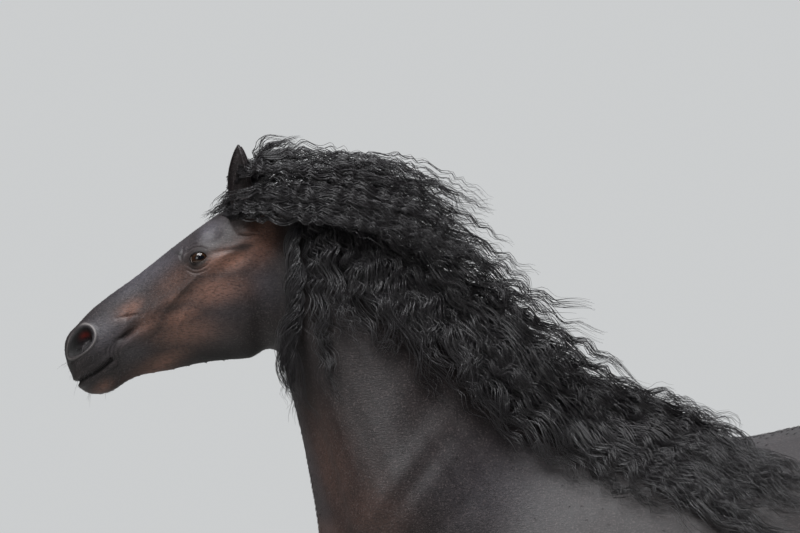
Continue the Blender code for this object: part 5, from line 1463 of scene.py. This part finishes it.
LOW = [
    [(-0.600, 2.020), (-0.598, 1.860), (-0.604, 1.700), (-0.590, 1.530)],
    [(-0.520, 1.990), (-0.470, 1.890), (-0.430, 1.800), (-0.370, 1.715)],
    [(-0.420, 1.910), (-0.365, 1.800), (-0.325, 1.690), (-0.270, 1.590)],
    [(-0.305, 1.815), (-0.245, 1.705), (-0.185, 1.600), (-0.110, 1.500)],
    [(-0.195, 1.715), (-0.125, 1.610), (-0.045, 1.505), (0.060, 1.410)],
    [(-0.085, 1.620), (0.000, 1.530), (0.100, 1.440), (0.220, 1.355)],
    [(0.020, 1.560), (0.110, 1.480), (0.230, 1.400), (0.370, 1.330)],
    [(0.110, 1.550), (0.210, 1.480), (0.350, 1.400), (0.520, 1.330)],
]
MANE_STEPS = (0.0, 0.10, 0.31, 0.54, 0.78, 1.0)   # where a lock's rings stand along its course
POLL_CROWD = 1.35
MANE_LOCKS, MANE_STRANDS, MANE_POINTS = 190, 18, 36
STRAND = 0.00105                # half the thickness of a strand, itself a few dozen hairs


def side_of(x, z, side):
    """How far out the skin lies at x, z in side view, or None above and beside it."""
    spot = body_tree.ray_cast(Vector((x, side * 1.0, z)), Vector((0, -side, 0)))[0]
    return abs(spot.y) if spot else None


def mane_course(where, fall, side, layer, reach):
    """The middle line of a lock, and the way its broad side faces."""
    root = along_course(CREST, [where])[0]
    course = between(HIGH, where) * (1 - fall) + between(LOW, where) * fall
    path = along_course(np.vstack([root, course]), np.array(MANE_STEPS) * reach)
    points, flat = [], []
    for i, (x, z) in enumerate(path):
        t = MANE_STEPS[i]
        out = (0.010 + (0.03 + 0.10 * fall) * smooth(t * 1.4)) * (1.0 if side < 0 else 0.8)
        flesh_at = side_of(x, z, side)
        if flesh_at is not None and i > 0:
            out = max(out, flesh_at + layer)
        points.append((x, side * out * (i > 0), z - 0.012 * (i == 0)))
        flat.append((0, side * (0.25 + 0.75 * fall * min(2 * t, 1)), 0.9 - 0.7 * fall))
    return np.array(points), np.array(flat)


def laid_mane():
    chance = np.random.default_rng(7)
    rows = []
    for k in range(MANE_LOCKS):
        where = ((k + 0.5) / MANE_LOCKS) ** POLL_CROWD
        fall = (k * 0.618) % 1
        side = 1 if k % 3 == 2 else -1
        layer = 0.006 + 0.050 * chance.random() ** 1.2
        reach = 0.72 + 0.30 * chance.random()
        course, flat = mane_course(where, fall, side, layer, reach)
        sway = 0.022 * chance.standard_normal((len(course), 3)) * np.array(MANE_STEPS)[:, None]
        course = course + sway * np.array([1, 0.5, 1])
        near_poll = math.exp(-where / 0.12)
        wave = (0.0100 - 0.0045 * near_poll + 0.003 * chance.random(), 0.096 - 0.046 * near_poll)
        wide = 0.030 + 0.030 * chance.random()
        chains, t = lock_strands(course, flat, MANE_STRANDS, wide, 0.016, MANE_POINTS, wave, chance)
        thickness = strand_thickness(t, t[:, -1], STRAND, chance)
        root_u = np.full(MANE_STRANDS, where) + 0.004 * chance.standard_normal(MANE_STRANDS)
        root_v = 0.5 + 0.3 * side * chance.random(MANE_STRANDS)
        rows.append((chains, thickness, np.column_stack([root_u, root_v]), chance.random(MANE_STRANDS)))
    return rows


# %% [markdown]
# The hair of the poll runs level from the forelock over the ear and back along the crest, in fine crimped strands. It
# lies between two guide lines, one along its upper and one along its lower edge.

# %% Poll stream
STREAM_TOP = [(-0.715, -0.010, 2.110), (-0.735, -0.060, 2.185), (-0.620, -0.080, 2.232), (-0.440, -0.070, 2.205),
              (-0.290, -0.045, 2.160), (-0.150, -0.040, 2.090)]
STREAM_LOW = [(-0.700, -0.030, 2.095), (-0.745, -0.104, 2.078), (-0.640, -0.124, 2.062), (-0.490, -0.132, 2.040),
              (-0.330, -0.124, 1.990), (-0.180, -0.110, 1.930)]
OVER_EAR = np.array([(-0.785, -0.020, 2.100), (-0.768, -0.096, 2.112), (-0.690, -0.120, 2.128)])
STREAM_LOCKS, STREAM_STRANDS, STREAM_POINTS = 36, 14, 60
STREAM_FAR = 5                  # every fifth lock lies on the far side of the crest
THROAT = [(-0.610, -0.080, 2.080), (-0.630, -0.110, 1.960), (-0.618, -0.114, 1.840), (-0.642, -0.108, 1.730),
          (-0.620, -0.102, 1.640), (-0.600, -0.098, 1.560)]
THROAT_LOCKS = 16
TRAIL_TOP = [(0.060, 1.680), (0.200, 1.635), (0.330, 1.585), (0.450, 1.535), (0.560, 1.480), (0.680, 1.430)]   # x, z
TRAIL_LOW = [(0.020, 1.600), (0.150, 1.500), (0.260, 1.420), (0.370, 1.350), (0.490, 1.290), (0.610, 1.240)]
TRAIL_LOCKS, TRAIL_OFF = 34, 0.014


MANE_THICK = 0.014              # thickness of a lock of the mane


def laid_lock(course, flat, spread, wide, wave, thick, where, chance, count=MANE_STRANDS, steps=MANE_POINTS):
    """One lock about a course, set off its line at random, with its roots at one place on the unwrap."""
    away = np.linspace(0.3, 1, len(course))[:, None] * spread
    course = np.array(course) + chance.standard_normal((len(course), 3)) * away
    return lock_row(course, flat, count, steps, (wide, MANE_THICK, thick), wave, (where, 0.2), 0.004, chance)


def laid_stream():
    chance = np.random.default_rng(31)
    rows = []
    top, low = np.array(STREAM_TOP), np.array(STREAM_LOW)
    flat = [(-0.3, -0.8, 0.5)] + [(0, -0.9, 0.4)] * 5
    for k in range(STREAM_LOCKS):
        share = (k * 0.618) % 1
        course = top + (low - top) * share
        course[:, 1] -= 0.016 * chance.random()
        if k % 3 == 1:
            course[:3] = OVER_EAR + np.array((0, 0, 0.11)) * (chance.random() - 0.42)
        if k % STREAM_FAR == 0:
            course[:, 1] *= -1
        reach = 0.70 + 0.35 * chance.random()
        course = along_course(course, np.linspace(0, min(1, reach), 6))
        wave = (0.0045 + 0.002 * chance.random(), 0.045)
        turned = [(x, -y, z) for x, y, z in flat] if k % STREAM_FAR == 0 else flat
        rows.append(laid_lock(course, turned, (0.008, 0.006, 0.011), 0.030, wave, 0.85 * STRAND, 0.02, chance,
                              STREAM_STRANDS, STREAM_POINTS))
    return rows


def laid_ends():
    chance = np.random.default_rng(33)
    rows = []
    for k in range(THROAT_LOCKS):
        course = along_course(np.array(THROAT), np.linspace(0, 0.65 + 0.35 * chance.random(), 6))
        rows.append(laid_lock(course, [(0, -1, 0.1)] * 6, (0.012, 0.004, 0.006), 0.020, (0.008, 0.095), STRAND, 0.06,
                              chance))
    top, low = np.array(TRAIL_TOP), np.array(TRAIL_LOW)
    for k in range(TRAIL_LOCKS):
        flat_course = top + (low - top) * ((k * 0.618) % 1)
        course = []
        for x, z in along_course(flat_course, np.linspace(0, 0.62 + 0.38 * chance.random(), 6)):
            flesh_at = side_of(x, z, -1)
            course.append((x, -(flesh_at or 0.0) - TRAIL_OFF * (1 + 2 * chance.random()), z))
        rows.append(laid_lock(course, [(0.2, -0.8, 0.6)] * 6, (0.010, 0.006, 0.010), 0.032, (0.010, 0.105), STRAND,
                              0.97, chance))
    return rows


# %% Mane pieces
hair_piece("mane_poll", together(laid_stream()))
MANE_PIECES = 6
mane_rows = laid_mane() + laid_ends()
print(len(mane_rows), "locks in the mane")
for n in range(MANE_PIECES):
    part = mane_rows[n * len(mane_rows) // MANE_PIECES:(n + 1) * len(mane_rows) // MANE_PIECES]
    hair_piece(f"mane_{n + 1}", together(part))

# %% [markdown]
# ## Forelock
# The forelock grows between the ears. The wind throws most of it back over the poll, and a short tuft stays on the
# forehead.

# %% Forelock
FORELOCK = [
    [(-0.715, 0.000, 2.105), (-0.722, -0.010, 2.185), (-0.690, -0.020, 2.235), (-0.625, -0.025, 2.245)],
    [(-0.705, -0.012, 2.105), (-0.700, -0.028, 2.175), (-0.665, -0.040, 2.215), (-0.600, -0.055, 2.215)],
    [(-0.705, 0.012, 2.105), (-0.700, 0.030, 2.180), (-0.665, 0.045, 2.220), (-0.600, 0.052, 2.220)],
    [(-0.725, -0.004, 2.105), (-0.752, -0.012, 2.140), (-0.785, -0.020, 2.112), (-0.820, -0.028, 2.078)],
    [(-0.725, 0.006, 2.105), (-0.755, 0.014, 2.138), (-0.790, 0.024, 2.106), (-0.828, 0.030, 2.064)],
]
FORELOCK_COPIES, FORELOCK_STRANDS, FORELOCK_POINTS = 5, 12, 20


def laid_forelock():
    chance = np.random.default_rng(21)
    rows = []
    for k in range(FORELOCK_COPIES * len(FORELOCK)):
        course = np.array(FORELOCK[k % len(FORELOCK)])
        course = course + 0.012 * chance.standard_normal(course.shape) * np.linspace(0, 1, 4)[:, None]
        flat = np.tile((0.3, 0.2 * chance.standard_normal(), 1), (4, 1))
        chains, t = lock_strands(course, flat, FORELOCK_STRANDS, 0.026, 0.012, FORELOCK_POINTS, (0.004, 0.05), chance)
        thickness = strand_thickness(t, t[:, -1], 0.0009, chance)
        roots = np.column_stack([0.5 + 0.1 * chance.standard_normal(FORELOCK_STRANDS),
                                 0.5 + 0.1 * chance.standard_normal(FORELOCK_STRANDS)])
        rows.append((chains, thickness, roots, chance.random(FORELOCK_STRANDS)))
    return rows


hair_piece("forelock", together(laid_forelock()))

# %% [markdown]
# ## Tail
# The tail hangs from the dock, full to below the hocks, and its hair starts all round the dock at different heights.

# %% Tail
TAIL = [(1.010, 1.475, 0.028, 0.024), (1.065, 1.464, 0.034, 0.030), (1.104, 1.420, 0.036, 0.032),
        (1.120, 1.330, 0.036, 0.030), (1.126, 1.200, 0.034, 0.026), (1.126, 1.050, 0.028, 0.020),
        (1.124, 0.900, 0.010, 0.008)]
TAIL_SPREAD = [(1.40, 0.042, 0.036), (1.20, 0.070, 0.050), (0.90, 0.094, 0.064), (0.60, 0.090, 0.066),
               (0.35, 0.066, 0.050), (0.15, 0.036, 0.028)]   # height, half width, half depth of the hanging hair
TAIL_TIP, TAIL_CLEAR = 0.16, 0.012   # lowest ends of the locks, and least height of any hair over the floor
TAIL_LOCKS, TAIL_STRANDS, TAIL_POINTS = 56, 12, 36
TAIL_SIZES = (0.044, 0.018, 0.0013)  # a lock's width and thickness, and a strand's thickness


def laid_tail():
    chance = np.random.default_rng(5)
    core = np.array(TAIL)
    spread = np.array(TAIL_SPREAD)[::-1]
    rows = []
    for k in range(TAIL_LOCKS):
        turn = math.tau * (k * 0.618 % 1)
        top = 1.455 - 0.45 * ((k * 0.381) % 1)
        low = TAIL_TIP + 0.38 * ((k * 0.271) % 1) ** 2
        near = 0.35 + 0.55 * chance.random()
        points, flat = [], []
        for i, z in enumerate(np.linspace(top, low, 7)):
            x = np.interp(z, core[::-1, 1], core[::-1, 0]) if z > 0.9 else 1.124
            wide, deep = (np.interp(z, spread[:, 0], spread[:, column]) for column in (1, 2))
            share = (0.5 if i == 0 else near) + 0.08 * chance.random()
            points.append((x + deep * math.cos(turn) * share, wide * math.sin(turn) * share, z))
            flat.append((math.cos(turn) * wide, math.sin(turn) * deep, 0))
        wave = (0.007 + 0.004 * chance.random(), 0.11)
        rows.append(lock_row(points, flat, TAIL_STRANDS, TAIL_POINTS, TAIL_SIZES, wave,
                             (turn / math.tau, (top - 0.9) / 0.7), 0.01, chance))
    return rows


tail_hair = hair_piece("tail_hair", together(laid_tail()), TAIL_CLEAR)

core_rows = through(TAIL, 4)
heading = unit(np.gradient(core_rows[:, :2], axis=0))
turn = np.arange(24) * math.tau / 24
core_rings = [np.column_stack([x + deep * np.cos(turn) * -dz, wide * np.sin(turn), z + deep * np.cos(turn) * dx])
              for (x, z, wide, deep), (dx, dz) in zip(core_rows, heading)]
dock = new_object("tail_dock", *closed_tube(core_rings))
dock.data.materials.append(mane_finish)
dock.data.shade_smooth()
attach(dock, "root")
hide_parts("tail")
print(dock.name, len(dock.data.polygons), "faces")

# %% [markdown]
# ## Feather
# Friesians carry feather: long hair from the back of the cannon bone and the pastern that falls over the heels and
# the sides of the hoof, just clear of the ground.

# %% Feather
FEATHER_TOP = {"fore": 0.330, "hind": 0.350}
FEATHER_TURN = math.radians(118)
FEATHER_CLEAR = 0.003           # least height of its hair over the floor
FEATHER_SPREAD = [(0.34, 0.034), (0.25, 0.054), (0.19, 0.068), (0.12, 0.080), (0.06, 0.088), (0.02, 0.090)]
FEATHER_LOCKS, FEATHER_STRANDS, FEATHER_POINTS = 40, 9, 12
FEATHER_SIZES = (0.026, 0.012, 0.0011)


def laid_feather(name, chance):
    shift, side = LEGS[name]
    kind = name[:4]
    rows = np.array(FORELEG if kind == "fore" else HINDLEG)
    middle_z = (rows[:, 1] + rows[:, 3])[::-1] / 2
    middle_x = (rows[:, 0] + rows[:, 2])[::-1] / 2
    toe, heel, _ = GROUND[kind]
    spread = np.array(FEATHER_SPREAD)[::-1]
    found = []
    for k in range(FEATHER_LOCKS):
        share = 2 * ((k * 0.618) % 1) - 1
        turn, front = FEATHER_TURN * share, abs(share)
        top = FEATHER_TOP[kind] - 0.13 * front - 0.12 * chance.random()
        low = 0.014 + 0.03 * chance.random() + 0.018 * front
        near = 0.75 + 0.25 * chance.random()
        points, flat = [], []
        for i, z in enumerate(np.linspace(top, low, 5)):
            centre = np.interp(z, [0, *middle_z], [(toe + heel) / 2, *middle_x]) + shift
            far = np.interp(z, spread[:, 0], spread[:, 1]) * (1 - 0.14 * front) * near if i else 0.024
            way = np.array((math.cos(turn), math.sin(turn), 0))
            points.append(np.array((centre, side, z)) + way * far)
            flat.append(way)
        wave = (0.003 + 0.002 * chance.random(), 0.07)
        found.append(lock_row(points, flat, FEATHER_STRANDS, FEATHER_POINTS, FEATHER_SIZES, wave,
                              (turn / math.tau + 0.5, top / 0.4), 0.01, chance, 0.3))
    return found


chance = np.random.default_rng(11)
for name in LEGS:
    # Chains, thicknesses, roots and shades each come from a draw of their own
    laid = [together(laid_feather(name, chance))[part] for part in range(4)]
    hair_piece("feather_" + name, laid, FEATHER_CLEAR)

# %% [markdown]
# ## Short fur
# Summer hair lies flat, and the finish already shows its grain. Where it turns over an edge of the body, at the jaw,
# the throat, the belly, the elbows and the backs of the legs, it leaves the surface as small tufts. A second Geometry
# Nodes tree scatters one tuft of a few thin hairs over the skin, turns each along the lie of the hair, and realizes
# them, so every tuft keeps the skin's markings at its root, the painted sheen and painted shade among them.

# %% One tuft
TUFT_HAIRS, TUFT_LONG, TUFT_THICK = 5, 0.013, 0.00032


def one_tuft():
    """Thin closed cones from one root, lying along +X and rising a little."""
    chance = np.random.default_rng(3)
    points, faces = [], []
    for k in range(TUFT_HAIRS):
        start = np.array((0.002 * k / TUFT_HAIRS, (k - (TUFT_HAIRS - 1) / 2) * 0.0010, -0.0006))
        long = TUFT_LONG * (0.7 + 0.3 * chance.random())
        tip = start + (long, 0.0022 * chance.standard_normal(), 0.0016 + 0.16 * long * chance.random())
        first = len(points)
        for a in (0, 1, 2):
            turn = math.tau * a / 3
            points.append(start + (0, TUFT_THICK * math.cos(turn), TUFT_THICK * math.sin(turn)))
        points.append(tip)
        faces += [(first, first + 2, first + 1), (first, first + 1, first + 3), (first + 1, first + 2, first + 3),
                  (first + 2, first, first + 3)]
    tuft = new_object("one_tuft", np.array(points), faces)
    outward(tuft.data)
    keep_numbers(tuft.data, {"across": np.repeat(np.arange(TUFT_HAIRS) / TUFT_HAIRS, 4),
                             "along": np.tile((0, 0, 0, 1.0), TUFT_HAIRS)})
    return tuft


def fur_recipe():
    recipe = Recipe("fur", [("Skin", "Geometry"), ("Tuft", "Object"), ("Density", "Float"), ("Seed", "Int"),
                            ("Finish", "Material")], "Fur")
    start, node = recipe.start, recipe.node
    share, scatter = node("ShaderNodeMath", operation="MULTIPLY"), node("GeometryNodeDistributePointsOnFaces")
    shape, stand = node("GeometryNodeObjectInfo"), node("GeometryNodeInstanceOnPoints")
    lay = node("FunctionNodeAlignRotationToVector", axis="X", pivot_axis="Z")
    real, dye = node("GeometryNodeRealizeInstances"), node("GeometryNodeSetMaterial")
    recipe.join((start["Density"], share.inputs[0]), (recipe.named("fur_share", "FLOAT"), share.inputs[1]),
                (start["Skin"], scatter.inputs["Mesh"]), (share.outputs[0], scatter.inputs["Density"]),
                (start["Seed"], scatter.inputs["Seed"]), (start["Tuft"], shape.inputs["Object"]),
                (scatter.outputs["Rotation"], lay.inputs["Rotation"]),
                (recipe.named("lie", "FLOAT_VECTOR"), lay.inputs["Vector"]),
                (scatter.outputs["Points"], stand.inputs["Points"]),
                (shape.outputs["Geometry"], stand.inputs["Instance"]),
                (lay.outputs["Rotation"], stand.inputs["Rotation"]),
                (recipe.named("fur_size", "FLOAT"), stand.inputs["Scale"]),
                (stand.outputs["Instances"], real.inputs["Geometry"]),
                (real.outputs["Geometry"], dye.inputs["Geometry"]), (start["Finish"], dye.inputs["Material"]),
                (dye.outputs["Geometry"], recipe.end["Fur"]))
    return recipe


FUR = fur_recipe()
print("fur tree:", len(FUR.tree.nodes), "nodes")

# %% [markdown]
# The amount, size and lie of the fur are numbers on the skin's points, like the markings. Tufts are smallest on the
# face and the feet. The places of their roots come from a side view of the skin, left and right side by side.

# %% Fur
FUR_TUFTS = 6800
FACE_SIZE, FOOT_SIZE, TRUNK_SIZE = 0.42, 0.55, 1.0


def lay_fur(mesh):
    """Puts the fur's numbers on the skin, and returns its area weighted with the share of fur."""
    points, out = coordinates(mesh), normals(mesh)
    x, z = points[:, 0], points[:, 2]
    face = smooth((-0.66 - x) / 0.08) * smooth((z - 1.62) / 0.08)
    foot = smooth((0.75 - z) / 0.20)
    lie = np.column_stack([0.80 - 0.35 * face - 0.65 * foot, 0 * x, -0.55 - 0.30 * face - 0.4 * foot])
    head = head_coordinates(points)
    toward_nose = face * smooth((head[:, 1] + 0.075) / 0.03)
    lie[:, 0] -= 1.3 * toward_nose
    edge = smooth(1.15 - 2.6 * np.abs(out[:, 1]))
    low = smooth((z - 0.05) / 0.04)
    share = (0.03 + 0.97 * edge) * (1 + 1.6 * face + 0.3 * foot) * low
    near_eye = np.minimum(*[np.linalg.norm(points - np.array(eye_frame(side)[0]), axis=1) for side in (-1, 1)])
    share *= smooth((near_eye - EYE_RADIUS - 0.002) / 0.004)
    share *= 1 - face * smooth((1.2 - nostril_shape(head[:, 0], head[:, 1])) / 0.1)
    size = TRUNK_SIZE + (FACE_SIZE - TRUNK_SIZE) * face
    size = size + (FOOT_SIZE - size) * foot
    box = points.min(axis=0), points.max(axis=0)
    u, v = ((points[:, axis] - box[0][axis]) / (box[1][axis] - box[0][axis]) for axis in (0, 2))
    right = points[:, 1] > 0
    keep_numbers(mesh, {"fur_share": share, "fur_size": size, "root_u": 0.48 * u + 0.5 * right + 0.01,
                        "root_v": 0.98 * v + 0.01})
    layer = mesh.attributes.new("lie", "FLOAT_VECTOR", "POINT")
    layer.data.foreach_set("vector", unit(lie).astype(np.float32).ravel())
    faces = np.array([tuple(p.vertices) for p in mesh.polygons])
    corners = points[faces]
    sizes = np.linalg.norm(np.cross(corners[:, 1] - corners[:, 0], corners[:, 2] - corners[:, 0]), axis=1) / 2
    return float((sizes * share[faces].mean(axis=1)).sum())


def grow_fur(name, seed):
    ground = bpy.data.objects.new(name + "_ground", skin.data.copy())
    bpy.context.scene.collection.objects.link(ground)
    tuft = one_tuft()
    fur = FUR.grow(name, ground, {"Tuft": tuft, "Density": FUR_TUFTS / lay_fur(ground.data), "Seed": seed,
                                  "Finish": coat_finish("short coat tufts", 1.0)})
    bpy.data.objects.remove(tuft)
    while fur.data.uv_layers:
        fur.data.uv_layers.remove(fur.data.uv_layers[0])
    lay_patches(fur.data, get_number(fur.data, "across") - 0.5)
    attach(fur, "root")
    print(name, len(fur.data.polygons), "triangles")


grow_fur("short_fur", 4)

# %% [markdown]
# ## Whiskers, lashes and ear hair
# Stiff single hairs stand on the muzzle and the chin, lashes on the upper lids, and fine hair grows out of the ears.
# Each is one strand that leaves the skin along its normal and bends down.

# %% Whiskers
def standing(spots, ways, longs, steps, droop):
    """Strands from spots, each going its own way and bending by droop."""
    t = np.linspace(0, 1, steps)[None, :, None]
    longs = np.asarray(longs)[:, None, None]
    bend = np.array(droop)[None, None, :] * t ** 2
    return spots[:, None, :] + longs * (unit(ways)[:, None, :] * t + bend)


def on_side(x, z, side):
    """Where the skin lies at x, z on one side, with its normal."""
    spot, normal, _, _ = body_tree.ray_cast(Vector((x, side * 1.0, z)), Vector((0, -side, 0)))
    return (np.array(spot), np.array(normal)) if spot else None


WHISKERS, LASHES, EAR_HAIRS = 90, 26, 150


def fine_hair():
    chance = np.random.default_rng(17)
    spots, ways, longs = [], [], []
    while len(spots) < WHISKERS:
        u, v = 0.500 + 0.130 * chance.random(), -0.175 + 0.130 * chance.random()
        x, z = head_point(u, v)
        found = on_side(x, z, 1 if len(spots) % 2 else -1)
        if found is None:
            continue
        spots.append(found[0] - 0.001 * found[1])
        ways.append(found[1] + 0.25 * chance.standard_normal(3) + (-0.25, 0, -0.2))
        longs.append(0.012 + 0.024 * chance.random())
    for side in (-1, 1):
        middle, out, ahead, up = (np.array(part) for part in eye_frame(side))
        for k in range(LASHES):
            a = -0.85 + 1.7 * k / (LASHES - 1)
            way = out * 0.80 + ahead * 0.62 * math.sin(a) + up * 0.42 * math.cos(a)
            spots.append(middle + unit(way[None])[0] * (EYE_RADIUS + 0.0006))
            ways.append(out * 0.8 + ahead * 0.55 * math.sin(a) + up * 0.5 + 0.08 * chance.standard_normal(3))
            longs.append(0.007 + 0.004 * chance.random())
        base = np.array((EAR_BASE[0], side * EAR_BASE[1], EAR_BASE[2]))
        tip = np.array((EAR_TIP[0], side * EAR_TIP[1], EAR_TIP[2]))
        for k in range(EAR_HAIRS):
            share = 0.10 + 0.80 * chance.random()
            wide = 0.020 * math.sin(math.pi * (0.15 + 0.8 * share))
            edge = 1 if k % 2 else -1
            spot = base + (tip - base) * share + (edge * wide * 0.9, side * (0.012 + 0.008 * chance.random()), 0)
            spots.append(spot)
            lean = -0.3 * edge + 0.3 * chance.standard_normal()
            ways.append((lean, side * 0.9, 0.7 + 0.3 * chance.standard_normal()))
            longs.append(0.008 + 0.012 * chance.random())
    return np.array(spots), np.array(ways), np.array(longs), chance


spots, ways, longs, chance = fine_hair()
chains = standing(spots, ways, longs, 7, (0.05, 0, -0.35))
thickness = np.tile(np.array((1.0, 1.0, 0.9, 0.8, 0.6, 0.4, 0.15)) * 0.00030, (len(chains), 1))
roots = np.column_stack([(spots[:, 0] + 1.3) / 2.6, spots[:, 2] / 2.4])
strand_piece("whiskers_and_lashes", chains, thickness, roots, mane_finish, chance.random(len(chains)))
